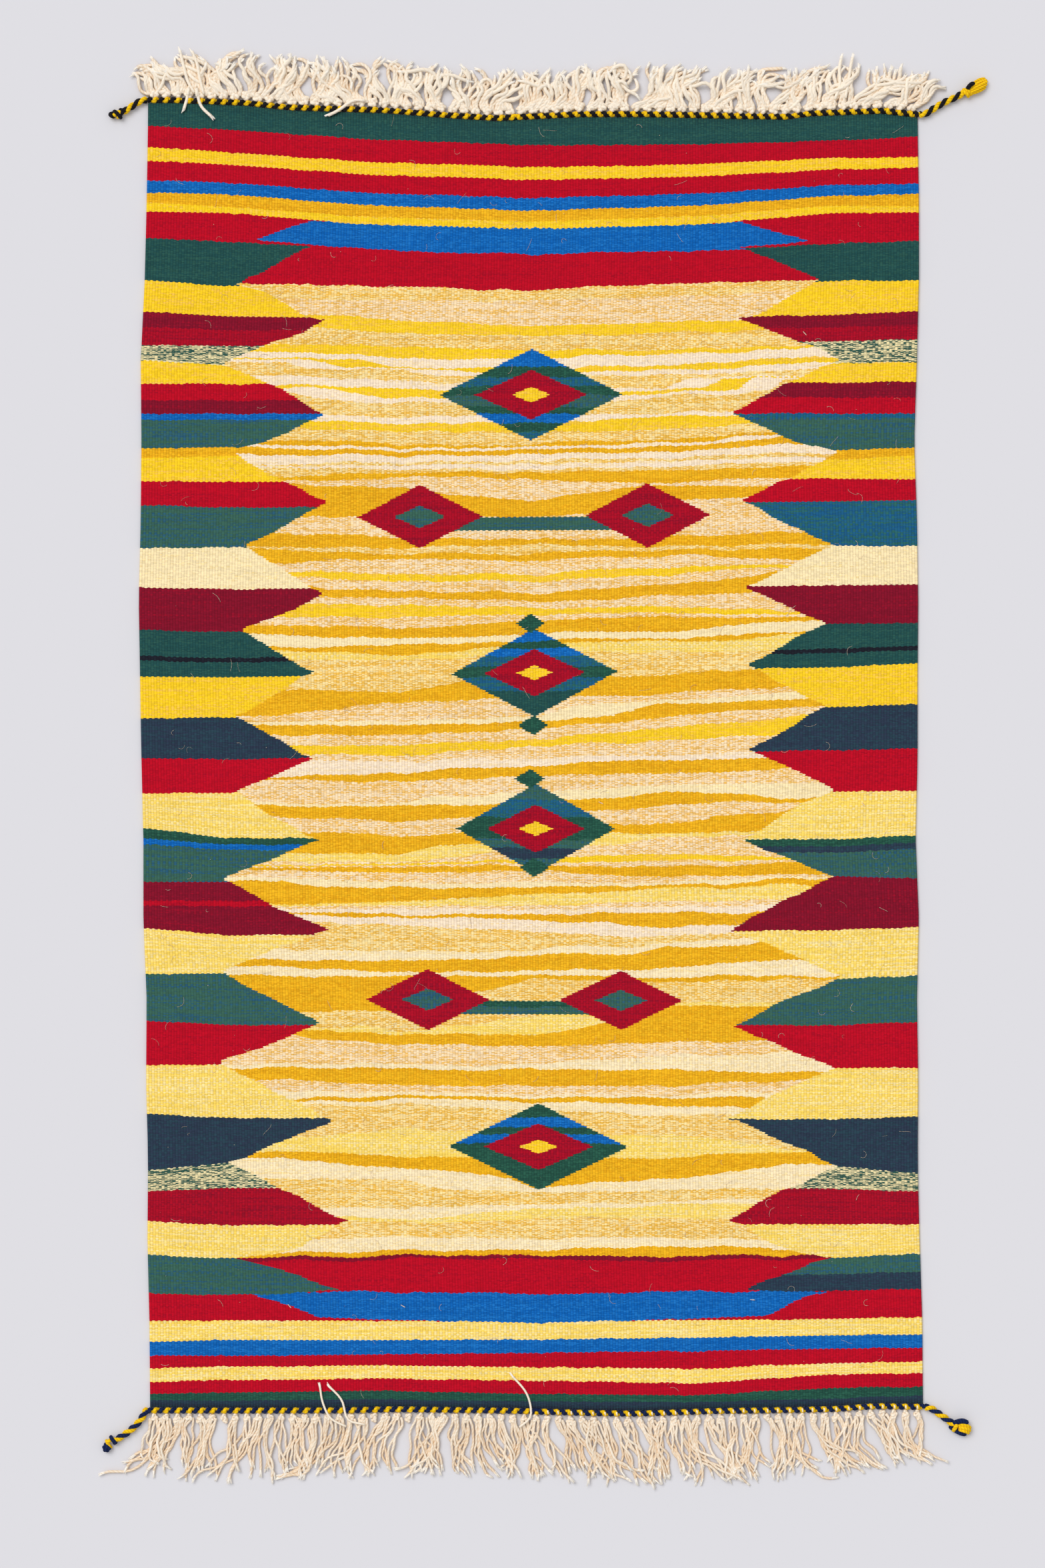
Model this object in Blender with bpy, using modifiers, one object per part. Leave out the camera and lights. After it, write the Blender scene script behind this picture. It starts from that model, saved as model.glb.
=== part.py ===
"""A flat-woven kilim rug lying on a floor: the woven field, its two twined edges, the knotted warp fringes
and the four twisted corner tails with their end knots.

Metres, +Z up. The origin is the middle of the rug on its underside, +Y runs along the warps towards the head
of the rug, and +X runs along the wefts towards its right selvedge.
"""

import math
import random
from collections import namedtuple

import bmesh
import bpy
from mathutils import Vector

MM = 0.001

# The woven field.
FIELD_THICKNESS = 3.0 * MM
GAP = 0.3 * MM

# The twined edges: two yarns that turn about each other once for every bunch of warps.
KNOTS_PER_END = 67
TWINE_WIDTH = 5.2 * MM
TWINE_FLATNESS = 0.62
STEPS_PER_TURN = 6
HEAD_REVERSAL = -15 * MM
FOOT_REVERSAL = 4 * MM

# The fringe: one knot for every bunch of warps, with two strands out of each knot.
KNOT_ROW_WIDTH = 5.0 * MM
KNOT_BULGE = 1.0 * MM
KNOT_HEIGHT = 4.4 * MM
KNOT_VALLEY = 2.4 * MM
FRINGE_INSET = 3.0 * MM
STRAND_REACH_UNEVENNESS = 0.16
STRAND_SEED = 11
FACING_OUT = 0.7

# A strand's sections, from the one just clear of its knot to its tip: the share of its reach, and how thick
# it is there.
Section = namedtuple("Section", "share thickness")
STRAND_SECTIONS = (
    Section(0.16, 2.4 * MM),
    Section(1.00, 1.7 * MM),
)

# The corner tails: a two-ply cord that keeps the twining's two yarns.
TAIL_WIDTH = 5.4 * MM
TAIL_TURN = 12.0 * MM
KNOT_STEPS = 10
KNOT_FLATNESS = 0.8
MERGE = 0.01 * MM
ROUTE_FINENESS = 24

# The selvedges, by height up the rug. The sides wander a few millimetres.
Selvedge = namedtuple("Selvedge", "along left right")
SELVEDGES_MM = (
    Selvedge(575, -345.6, 347.4),
    Selvedge(503, -346.8, 348.6),
    Selvedge(431, -348.6, 348.6),
    Selvedge(359, -352.2, 346.8),
    Selvedge(287, -351.6, 344.4),
    Selvedge(215, -352.2, 346.8),
    Selvedge(143, -354.0, 348.0),
    Selvedge(71, -352.8, 347.4),
    Selvedge(-1, -351.6, 347.4),
    Selvedge(-73, -349.8, 345.6),
    Selvedge(-145, -349.8, 348.6),
    Selvedge(-217, -346.8, 346.8),
    Selvedge(-289, -347.4, 348.0),
    Selvedge(-361, -345.6, 347.4),
    Selvedge(-433, -346.2, 349.2),
    Selvedge(-505, -344.4, 351.6),
    Selvedge(-577, -343.8, 352.2),
)

# The line of each twined edge, from left to right.
Sag = namedtuple("Sag", "across along")
HEAD_LINE_MM = (
    Sag(-347, 592.8),
    Sag(-323, 592.8),
    Sag(-259, 590.4),
    Sag(-218, 586.2),
    Sag(-135, 583.8),
    Sag(-73, 579.0),
    Sag(-32, 576.6),
    Sag(44, 580.2),
    Sag(106, 580.2),
    Sag(189, 578.4),
    Sag(230, 577.8),
    Sag(251, 580.8),
    Sag(316, 583.2),
    Sag(349, 579.6),
)
FOOT_LINE_MM = (
    Sag(-347, -586.6),
    Sag(-261, -586.8),
    Sag(-165, -586.6),
    Sag(-127, -585.6),
    Sag(-23, -586.8),
    Sag(53, -589.0),
    Sag(92, -589.6),
    Sag(168, -587.1),
    Sag(241, -586.2),
    Sag(275, -585.3),
    Sag(309, -582.8),
    Sag(354, -583.5),
)

# How the fringe lies, by place along the edge from 0 at the left to 1 at the right: the lean is the sideways
# run for each unit outwards, and the reach is measured out from the knot row.
Lie = namedtuple("Lie", "place lean reach")
HEAD_FRINGE = (
    Lie(0.00, -0.95, 30 * MM),
    Lie(0.06, -0.35, 34 * MM),
    Lie(0.12, 0.05, 38 * MM),
    Lie(0.28, -0.15, 37 * MM),
    Lie(0.40, 0.05, 36 * MM),
    Lie(0.52, 0.30, 32 * MM),
    Lie(0.60, 0.55, 36 * MM),
    Lie(0.72, 0.45, 35 * MM),
    Lie(0.86, 0.30, 38 * MM),
    Lie(0.94, 0.75, 34 * MM),
    Lie(1.00, 1.10, 26 * MM),
)
FOOT_FRINGE = (
    Lie(0.00, -0.50, 46 * MM),
    Lie(0.10, -0.30, 56 * MM),
    Lie(0.22, -0.15, 52 * MM),
    Lie(0.30, 0.05, 50 * MM),
    Lie(0.45, -0.05, 52 * MM),
    Lie(0.60, 0.20, 56 * MM),
    Lie(0.75, 0.25, 54 * MM),
    Lie(0.88, 0.38, 52 * MM),
    Lie(1.00, 0.50, 40 * MM),
)

# The tails' routes over the floor, from the end of the twining outwards.
TAIL_ROUTES_MM = {
    "head_left": (
        (-347.3, 592.8),
        (-350.4, 592.4),
        (-353.8, 591.0),
        (-358.6, 588.0),
        (-364.0, 584.4),
        (-370.0, 581.0),
        (-378.0, 579.4),
    ),
    "head_right": (
        (349.3, 579.6),
        (352.6, 579.9),
        (356.2, 581.4),
        (362.4, 585.4),
        (372.0, 591.0),
        (382.0, 595.4),
        (390.0, 600.2),
    ),
    "foot_left": (
        (-347.3, -586.6),
        (-350.4, -587.0),
        (-353.6, -588.4),
        (-356.4, -590.8),
        (-359.4, -595.8),
        (-363.6, -601.6),
        (-369.8, -608.2),
        (-377.4, -615.0),
    ),
    "foot_right": (
        (354.3, -583.5),
        (357.4, -583.9),
        (361.2, -585.8),
        (366.0, -589.2),
        (372.6, -593.8),
        (378.6, -598.0),
        (384.0, -600.4),
    ),
}

# Each knot's outline, turned about the tail's line: the distance along it and the radius there.
Turn = namedtuple("Turn", "along radius")
PLAIN_KNOT_MM = (
    Turn(0.0, 0.0),
    Turn(0.0, 2.0),
    Turn(1.4, 3.5),
    Turn(3.6, 4.0),
    Turn(5.8, 3.3),
    Turn(7.2, 1.6),
    Turn(7.5, 0.0),
)
TUFTED_KNOT_MM = (
    Turn(0.0, 0.0),
    Turn(0.0, 2.2),
    Turn(1.6, 3.9),
    Turn(4.2, 4.4),
    Turn(6.8, 3.2),
    Turn(8.2, 2.7),
    Turn(12.0, 3.9),
    Turn(16.0, 3.6),
    Turn(19.0, 1.6),
    Turn(19.6, 0.0),
)
CLENCHED_KNOT_MM = (
    Turn(0.0, 0.0),
    Turn(0.0, 2.4),
    Turn(2.0, 5.2),
    Turn(6.2, 6.2),
    Turn(10.4, 5.4),
    Turn(12.6, 2.6),
    Turn(13.0, 0.0),
)

BLACK_YARN = (0.02, 0.018, 0.02)
NAVY_YARN = (0.02, 0.03, 0.09)
GOLD_YARN = (0.80, 0.50, 0.03)
WOVEN_RED = (0.45, 0.01, 0.02)
WARP_COTTON = (0.82, 0.74, 0.60)


def make_material(name, colour, roughness=0.9):
    """A plain Principled finish in one colour."""
    material = bpy.data.materials.new(name)
    material.use_nodes = True
    shader = material.node_tree.nodes["Principled BSDF"]
    shader.inputs["Base Color"].default_value = (*colour, 1.0)
    shader.inputs["Roughness"].default_value = roughness
    shader.inputs["Metallic"].default_value = 0.0
    return material


def place(obj, collection, material=None):
    """Link the object to its collection and give it its finish."""
    collection.objects.link(obj)
    if material:
        obj.data.materials.append(material)
    return obj


def between(rows, where, column):
    """The value of a table's column at a place along the table's first column, on straight lines."""
    rows = sorted(rows)
    if where <= rows[0][0]:
        return getattr(rows[0], column)
    for low, high in zip(rows, rows[1:]):
        if where <= high[0]:
            share = (where - low[0]) / (high[0] - low[0])
            return getattr(low, column) + share * (getattr(high, column) - getattr(low, column))
    return getattr(rows[-1], column)


def line_height(line, across):
    """How far up the rug a twined edge's line lies, at a place across the rug."""
    return between(line, across / MM, "along") * MM


def make_curve(name, points, dimensions="3D", closed=False):
    """A curve object's data with one straight-sided spline through the points."""
    curve = bpy.data.curves.new(name, "CURVE")
    curve.dimensions = dimensions
    spline = curve.splines.new("POLY")
    spline.points.add(len(points) - 1)
    for knot, point in zip(spline.points, points):
        knot.co = (*point, 1.0)
    spline.use_cyclic_u = closed
    return curve


def make_woven_field(collection):
    """The weave: one flat outline between the selvedges and the two twined edges."""
    clearance = TWINE_WIDTH / 2 + GAP
    left = [Vector((row.left, row.along, 0)) * MM for row in SELVEDGES_MM]
    right = [Vector((row.right, row.along, 0)) * MM for row in reversed(SELVEDGES_MM)]
    foot = edge_of_weave(FOOT_LINE_MM, SELVEDGES_MM[-1], clearance)
    head = edge_of_weave(HEAD_LINE_MM, SELVEDGES_MM[0], -clearance)
    curve = make_curve("woven_field", left + foot + right + head[::-1], "2D", closed=True)
    curve.fill_mode = "BOTH"
    curve.extrude = FIELD_THICKNESS / 2
    field = bpy.data.objects.new("woven_field", curve)
    field.location.z = FIELD_THICKNESS / 2
    place(field, collection, make_material("woven wool", WOVEN_RED))


def edge_of_weave(line, selvedge, offset):
    """One end of the weave from its left corner to its right one, at an offset from the twined edge's line."""
    across = [selvedge.left, *(row.across for row in line[1:-1]), selvedge.right]
    return [Vector((place_mm * MM, line_height(line, place_mm * MM) + offset, 0)) for place_mm in across]


def make_ply_section(name, width, flatness, guides):
    """The section of two yarns side by side, which the twisted cords sweep along their lines."""
    half, thin = width / 2, width / 2 * flatness
    curve = make_curve(name, [(half, 0, 0), (0, -thin, 0), (-half, 0, 0), (0, thin, 0)], "2D", closed=True)
    section = place(bpy.data.objects.new(name, curve), guides)
    section.hide_render = True
    section.display_type = "WIRE"
    return section


def make_twisted_cord(name, points, turns, section, collection, material):
    """Two yarns twisted together along a line. Turns gives the twist, in whole turns, at each point."""
    curve = make_curve(name, points)
    curve.twist_mode = "Z_UP"
    curve.bevel_mode = "OBJECT"
    curve.bevel_object = section
    curve.use_fill_caps = True
    for knot, turn in zip(curve.splines[0].points, turns):
        knot.tilt = 2 * math.pi * turn
    return place(bpy.data.objects.new(name, curve), collection, material)


def make_twined_edge(name, line, reversal, section, collection, material):
    """A twined row along one end of the rug. Its twist changes hand where the weaver began, at reversal."""
    first, last = line[0].across * MM, line[-1].across * MM
    steps = KNOTS_PER_END * STEPS_PER_TURN
    points, turns, turn = [], [], 0.0
    for step in range(steps + 1):
        across = first + (last - first) * step / steps
        points.append(Vector((across, line_height(line, across), TWINE_WIDTH / 2)))
        turns.append(turn)
        turn += math.copysign(1 / STEPS_PER_TURN, across - reversal)
    make_twisted_cord(name, points, turns, section, collection, material)


def lies_of_strands(count, lies):
    """The lean and the reach of each strand along one end, with the reach a little uneven."""
    rng = random.Random(STRAND_SEED)
    for index in range(count):
        where = index / (count - 1)
        shortening = 1 - STRAND_REACH_UNEVENNESS * rng.random()
        yield between(lies, where, "lean"), between(lies, where, "reach") * shortening


def draw_out_strands(bm, faces, lies, outward):
    """Draw each of the knot row's outer faces out into one strand that lies on the floor."""
    ends = sorted(faces, key=lambda face: face.calc_center_median().x)
    roots = [face.calc_center_median() for face in ends]
    strands = list(lies_of_strands(len(ends), lies))
    for section in STRAND_SECTIONS:
        drawn = bmesh.ops.extrude_discrete_faces(bm, faces=ends)["faces"]
        ends = sorted(drawn, key=lambda face: face.calc_center_median().x)
        for face, root, (lean, reach) in zip(ends, roots, strands):
            middle = face.calc_center_median()
            out = reach * section.share
            for vertex in face.verts:
                sideways = math.copysign(section.thickness / 2, vertex.co.x - middle.x)
                height = section.thickness if vertex.co.z > middle.z else 0.0
                vertex.co = (root.x + lean * out + sideways, root.y + outward * out, height)


def make_fringe(name, line, lies, outward, collection, material):
    """A row of knots along a twined edge, and the warp strands that lie out from it."""
    first, last = line[0].across * MM + FRINGE_INSET, line[-1].across * MM - FRINGE_INSET
    cells = 2 * KNOTS_PER_END
    bm = bmesh.new()
    bmesh.ops.create_cube(bm, size=1.0)
    lengthwise = [edge for edge in bm.edges if abs(edge.verts[0].co.x - edge.verts[1].co.x) > 0.5]
    bmesh.ops.subdivide_edges(bm, edges=lengthwise, cuts=cells - 1, use_grid_fill=True)
    inner = TWINE_WIDTH / 2 + GAP
    for vertex in bm.verts:
        cell = round((vertex.co.x + 0.5) * cells)
        on_knot = cell % 2
        across = first + (last - first) * cell / cells
        outside = vertex.co.y * outward > 0
        depth = inner + (KNOT_ROW_WIDTH + KNOT_BULGE * on_knot if outside else 0)
        height = (KNOT_HEIGHT if on_knot else KNOT_VALLEY) if vertex.co.z > 0 else 0.0
        vertex.co = (across, line_height(line, across) + outward * depth, height)
    bm.normal_update()
    facing = [face for face in bm.faces if face.normal.y * outward > FACING_OUT]
    draw_out_strands(bm, facing, lies, outward)
    mesh = bpy.data.meshes.new(name)
    bm.to_mesh(mesh)
    bm.free()
    return place(bpy.data.objects.new(name, mesh), collection, material)


def smooth_route(points, spacing):
    """Points at an even spacing along a smooth curve through a route's own points."""
    ends = [2 * points[0] - points[1], *points, 2 * points[-1] - points[-2]]
    dense = []
    for before, low, high, after in zip(ends, ends[1:], ends[2:], ends[3:]):
        for step in range(ROUTE_FINENESS):
            t = step / ROUTE_FINENESS
            pull = (high - before) * t + (2 * before - 5 * low + 4 * high - after) * t**2
            pull += (3 * low - before - 3 * high + after) * t**3
            dense.append(low + pull / 2)
    dense.append(points[-1])
    length = sum((b - a).length for a, b in zip(dense, dense[1:]))
    wanted = max(2, round(length / spacing))
    route, walked, place_at = [dense[0]], 0.0, 1
    for a, b in zip(dense, dense[1:]):
        walked += (b - a).length
        while place_at < wanted and walked >= length * place_at / wanted:
            route.append(b)
            place_at += 1
    route.append(dense[-1])
    return route


def make_corner_tail(corner, route_mm, knot_mm, twist, section, collection, materials):
    """A short twisted tail on the floor, and the knot on its end."""
    height = TAIL_WIDTH / 2
    points = [Vector((across * MM, along * MM, height)) for across, along in route_mm]
    route = smooth_route(points, TAIL_TURN / STEPS_PER_TURN)
    turns = [twist * step / STEPS_PER_TURN for step in range(len(route))]
    make_twisted_cord(f"corner_tail_{corner}", route, turns, section, collection, materials["tail"])
    heading = (route[-1] - route[-2]).normalized()
    mesh = bpy.data.meshes.new(f"tail_knot_{corner}")
    profile = [(row.radius * MM, 0, row.along * MM) for row in reversed(knot_mm)]
    mesh.from_pydata(profile, [(index, index + 1) for index in range(len(profile) - 1)], [])
    knot = place(bpy.data.objects.new(f"tail_knot_{corner}", mesh), collection, materials["knot"])
    knot.rotation_mode = "QUATERNION"
    knot.rotation_quaternion = heading.to_track_quat("Z", "Y")
    knot.location = route[-1] + heading * GAP
    knot.location.z = max(row.radius for row in knot_mm) * MM * KNOT_FLATNESS
    knot.scale.y = KNOT_FLATNESS
    turned = knot.modifiers.new("turned", "SCREW")
    turned.axis = "Z"
    turned.angle = 2 * math.pi
    turned.steps = turned.render_steps = KNOT_STEPS
    turned.use_merge_vertices = True
    turned.merge_threshold = MERGE
    return knot


def build_rug():
    """Every piece of the rug, in a collection of its own."""
    for obj in list(bpy.data.objects):
        bpy.data.objects.remove(obj, do_unlink=True)
    rug = bpy.data.collections.new("kilim_rug")
    guides = bpy.data.collections.new("guides")
    for collection in (rug, guides):
        bpy.context.scene.collection.children.link(collection)
    cotton = make_material("cotton warps", WARP_COTTON, 0.95)
    gold = make_material("gold yarn", GOLD_YARN)
    black = make_material("black yarn", BLACK_YARN)
    navy = make_material("navy yarn", NAVY_YARN)
    twine_section = make_ply_section("twine_section", TWINE_WIDTH, TWINE_FLATNESS, guides)
    tail_section = make_ply_section("tail_section", TAIL_WIDTH, TWINE_FLATNESS, guides)

    make_woven_field(rug)
    make_twined_edge("twined_edge_head", HEAD_LINE_MM, HEAD_REVERSAL, twine_section, rug, gold)
    make_twined_edge("twined_edge_foot", FOOT_LINE_MM, FOOT_REVERSAL, twine_section, rug, gold)
    make_fringe("warp_fringe_head", HEAD_LINE_MM, HEAD_FRINGE, 1, rug, cotton)
    make_fringe("warp_fringe_foot", FOOT_LINE_MM, FOOT_FRINGE, -1, rug, cotton)
    for corner, knot_mm, twist, knot_material in (
        ("head_left", PLAIN_KNOT_MM, 1, black),
        ("head_right", TUFTED_KNOT_MM, 1, gold),
        ("foot_left", PLAIN_KNOT_MM, -1, navy),
        ("foot_right", CLENCHED_KNOT_MM, 1, gold),
    ):
        materials = {"tail": gold, "knot": knot_material}
        make_corner_tail(corner, TAIL_ROUTES_MM[corner], knot_mm, twist, tail_section, rug, materials)


build_rug()
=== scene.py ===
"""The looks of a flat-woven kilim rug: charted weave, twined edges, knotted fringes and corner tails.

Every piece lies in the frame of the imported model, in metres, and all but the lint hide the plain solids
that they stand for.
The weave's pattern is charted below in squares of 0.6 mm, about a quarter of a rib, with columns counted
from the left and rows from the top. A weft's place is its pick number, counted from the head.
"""

import logging
import math
import random
from bisect import bisect_right
from dataclasses import dataclass, field
from enum import IntEnum
from typing import Any, Callable, Iterable, Sequence

import bmesh
import bpy
import numpy as np
from mathutils import Matrix, Vector


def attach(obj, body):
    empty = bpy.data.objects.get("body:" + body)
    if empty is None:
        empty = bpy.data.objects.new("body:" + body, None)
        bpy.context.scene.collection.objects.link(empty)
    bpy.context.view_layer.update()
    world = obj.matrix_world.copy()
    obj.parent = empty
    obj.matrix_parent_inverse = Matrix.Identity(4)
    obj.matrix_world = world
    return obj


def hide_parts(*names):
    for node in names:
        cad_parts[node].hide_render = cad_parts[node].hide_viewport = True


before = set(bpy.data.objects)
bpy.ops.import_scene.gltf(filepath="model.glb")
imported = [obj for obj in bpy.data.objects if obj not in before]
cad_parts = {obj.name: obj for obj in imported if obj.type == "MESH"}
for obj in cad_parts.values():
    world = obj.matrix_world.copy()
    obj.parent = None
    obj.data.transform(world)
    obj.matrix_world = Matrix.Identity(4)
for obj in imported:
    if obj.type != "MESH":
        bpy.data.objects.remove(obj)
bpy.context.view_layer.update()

Colour = tuple[float, float, float, float]
Curve = Sequence[tuple[float, float]]

LOG = logging.getLogger("kilim")
MM = 0.001

# The chart's squares.
SQUARE = 0.6 * MM
MIDDLE_COLUMN = 798
MIDDLE_ROW = 1138

# The cloth.
THICKNESS = 3.0 * MM
GAP = 0.3 * MM
MERGE_DISTANCE = 0.001 * MM
RIBS = 277
RIB_DEPTH = 0.55 * MM
PICK = 0.6 * MM
RIPPLE = 0.35 * MM
TWINE_WIDTH = 5.2 * MM
WEAVE_INSET = TWINE_WIDTH / 2 + GAP
TALLEST_MESH_ROW = 24 * MM

# The picture's framing: how much of the floor the camera sees, and the middle of that.
VIEW_HEIGHT = 2352 * SQUARE
VIEW_MIDDLE = (-8.4 * MM, -22.8 * MM)
CAMERA_HEIGHT = 3.2


def srgb(red: int, green: int, blue: int) -> Colour:
    """A colour given from 0 to 255, as the renderer's linear one."""
    parts = (value / 255 for value in (red, green, blue))
    return (*(v / 12.92 if v <= 0.04045 else ((v + 0.055) / 1.055) ** 2.4 for v in parts), 1.0)


def spot(column: float, row: float) -> tuple[float, float]:
    """Where a square of the chart lies, in metres across and along from the rug's middle."""
    return (column - MIDDLE_COLUMN) * SQUARE, (MIDDLE_ROW - row) * SQUARE


class Yarn(IntEnum):
    """The wefts, by their dye lot."""

    BLACK = 0
    RED = 1
    MAROON = 2
    WINE = 3
    YELLOW = 4
    STRAW = 5
    GOLD = 6
    CREAM = 7
    MILK = 8
    GOLD_TWEED = 9
    CREAM_TWEED = 10
    FOREST = 11
    TEAL = 12
    BLUE = 13
    NAVY = 14
    MOSS_TWEED = 15
    BUTTER = 16
    SPRUCE = 17
    LAGOON = 18


@dataclass(frozen=True)
class Dye:
    """How a weft looks: its two strands, the second one's share, and how far that share runs in streaks."""

    main: Colour
    second: Colour
    share: float
    streaky: float


DYES = {
    Yarn.BLACK: Dye(srgb(28, 30, 40), srgb(34, 50, 60), 0.25, 0.5),
    Yarn.RED: Dye(srgb(192, 8, 36), srgb(172, 8, 38), 0.30, 0.6),
    Yarn.MAROON: Dye(srgb(132, 16, 42), srgb(154, 14, 42), 0.30, 0.7),
    Yarn.WINE: Dye(srgb(174, 10, 38), srgb(148, 12, 40), 0.40, 0.8),
    Yarn.YELLOW: Dye(srgb(255, 209, 34), srgb(255, 203, 84), 0.34, 0.5),
    Yarn.STRAW: Dye(srgb(255, 217, 96), srgb(255, 230, 158), 0.44, 0.7),
    Yarn.GOLD: Dye(srgb(246, 186, 32), srgb(232, 166, 22), 0.45, 0.3),
    Yarn.CREAM: Dye(srgb(255, 234, 192), srgb(255, 225, 160), 0.35, 0.6),
    Yarn.MILK: Dye(srgb(254, 232, 204), srgb(254, 224, 170), 0.30, 0.7),
    Yarn.GOLD_TWEED: Dye(srgb(255, 228, 162), srgb(242, 188, 76), 0.50, 0.15),
    Yarn.CREAM_TWEED: Dye(srgb(255, 228, 188), srgb(243, 190, 94), 0.45, 0.20),
    Yarn.FOREST: Dye(srgb(32, 76, 76), srgb(44, 88, 80), 0.40, 0.3),
    Yarn.TEAL: Dye(srgb(58, 100, 86), srgb(42, 92, 120), 0.38, 0.75),
    Yarn.BLUE: Dye(srgb(8, 96, 178), srgb(28, 116, 196), 0.40, 0.2),
    Yarn.NAVY: Dye(srgb(44, 56, 76), srgb(42, 68, 82), 0.45, 0.4),
    Yarn.MOSS_TWEED: Dye(srgb(240, 224, 172), srgb(50, 88, 78), 0.52, 0.05),
    Yarn.BUTTER: Dye(srgb(255, 233, 184), srgb(255, 226, 158), 0.22, 0.4),
    Yarn.SPRUCE: Dye(srgb(34, 78, 66), srgb(44, 96, 78), 0.40, 0.3),
    Yarn.LAGOON: Dye(srgb(28, 92, 136), srgb(44, 102, 98), 0.45, 0.6),
}


@dataclass(frozen=True)
class Band:
    """A band of the toothed sides. The rows are its lower edge's, from the left selvedge to the right one.

    Sag is how many rows the middle of that edge hangs below the mean of the inner two. A band whose edge
    is less even has its own rows at the three inner columns instead.
    """

    yarn: Yarn
    left_rim: int
    left: int
    right: int
    right_rim: int
    sag: int = 0
    right_yarn: Yarn | None = None
    inner: tuple[int, int, int] | None = None

    @property
    def yarns(self) -> tuple[Yarn, Yarn]:
        """The yarns of its left and right sides."""
        return self.yarn, self.yarn if self.right_yarn is None else self.right_yarn


# The head's own edge, above the first band.
HEAD_EDGE = Band(Yarn.BLACK, 153, 158, 170, 168, 8)

BANDS = tuple(
    Band(*row)
    for row in (
        (Yarn.FOREST, 188, 195, 211, 205, 15), (Yarn.RED, 220, 229, 237, 236, 18),
        (Yarn.YELLOW, 240, 247, 254, 251, 19), (Yarn.RED, 271, 275, 278, 276, 21),
        (Yarn.BLUE, 289, 292, 294, 291, 23), (Yarn.GOLD, 304, 311, 309, 310, 23),
        (Yarn.YELLOW, 316, 318, 318, 317, 27), (Yarn.RED, 357, 362, 365, 361, 18),
        (Yarn.FOREST, 421, 429, 421, 421, 12), (Yarn.YELLOW, 468, 475, 473, 467, 5),
        (Yarn.MAROON, 490, 495, 491, 486, 3), (Yarn.WINE, 517, 519, 512, 508),
        (Yarn.MOSS_TWEED, 540, 549, 545, 543), (Yarn.YELLOW, 575, 576, 574, 572),
        (Yarn.RED, 600, 601, 596, 596, 0, Yarn.MAROON), (Yarn.MAROON, 621, 621, 621, 621, 0, Yarn.RED),
        (Yarn.BLUE, 629, 629, 627, 627, 0, Yarn.LAGOON), (Yarn.TEAL, 674, 672, 676, 673),
        (Yarn.GOLD, 687, 684, 689, 683), (Yarn.YELLOW, 722, 723, 718, 719),
        (Yarn.RED, 757, 761, 752, 750), (Yarn.TEAL, 822, 821, 819, 819, 0, Yarn.LAGOON),
        (Yarn.BUTTER, 881, 884, 878, 876), (Yarn.MAROON, 945, 948, 936, 934),
        (Yarn.FOREST, 986, 989, 975, 970), (Yarn.BLACK, 990, 993, 979, 974),
        (Yarn.FOREST, 1014, 1015, 1000, 994), (Yarn.YELLOW, 1078, 1076, 1060, 1057),
        (Yarn.NAVY, 1103, 1105, 1090, 1088), (Yarn.NAVY, 1137, 1139, 1125, 1123),
        (Yarn.RED, 1190, 1189, 1187, 1186), (Yarn.STRAW, 1243, 1258, 1260, 1254),
        (Yarn.SPRUCE, 1258, 1267, 1270, 1264), (Yarn.BLUE, 1266, 1275, 1279, 1273, 0, Yarn.NAVY),
        (Yarn.TEAL, 1323, 1323, 1314, 1318), (Yarn.MAROON, 1352, 1353, 1350, 1350),
        (Yarn.RED, 1357, 1359, 1353, 1353, 0, Yarn.MAROON), (Yarn.MAROON, 1392, 1403, 1395, 1391),
        (Yarn.STRAW, 1461, 1460, 1469, 1463), (Yarn.TEAL, 1531, 1538, 1538, 1533),
        (Yarn.RED, 1597, 1598, 1601, 1602), (Yarn.STRAW, 1671, 1677, 1679, 1675),
        (Yarn.NAVY, 1756, 1745, 1751, 1760), (Yarn.MOSS_TWEED, 1786, 1782, 1783, 1787),
        (Yarn.WINE, 1832, 1838, 1836, 1837), (Yarn.STRAW, 1883, 1888, 1887, 1881),
        (Yarn.TEAL, 1911, 1914, 1911, 1908),
        (Yarn.TEAL, 1940, 1942, 1936, 1933, 2, Yarn.NAVY), (Yarn.RED, 1982, 1981, 1979, 1976, 2),
        (Yarn.STRAW, 2013, 2010, 2003, 2002, 3), (Yarn.BLUE, 2033, 2034, 2023, 2022, 1),
        (Yarn.RED, 2052, 2050, 2045, 2043, 0, None, (2048, 2051, 2053)),
        (Yarn.STRAW, 2073, 2070, 2062, 2060, 0, None, (2068, 2071, 2075)),
        (Yarn.RED, 2091, 2089, 2082, 2081, 0, None, (2086, 2091, 2093)),
        (Yarn.SPRUCE, 2100, 2101, 2098, 2094, 0, None, (2099, 2102, 2103)),
        (Yarn.NAVY, 2117, 2112, 2119, 2119),
    )
)

# The bands that run right across, before the first tooth and after the last.
FIRST_TOOTHED_BAND = 7
LAST_TOOTHED_BAND = 48


@dataclass(frozen=True)
class Turn:
    """A corner of the teeth's edge: its row and its column."""

    row: int
    column: int


def turns(*pairs: tuple[int, int]) -> tuple[Turn, ...]:
    """The corners of one edge, from the head to the foot."""
    return tuple(Turn(row, column) for row, column in pairs)


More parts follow.
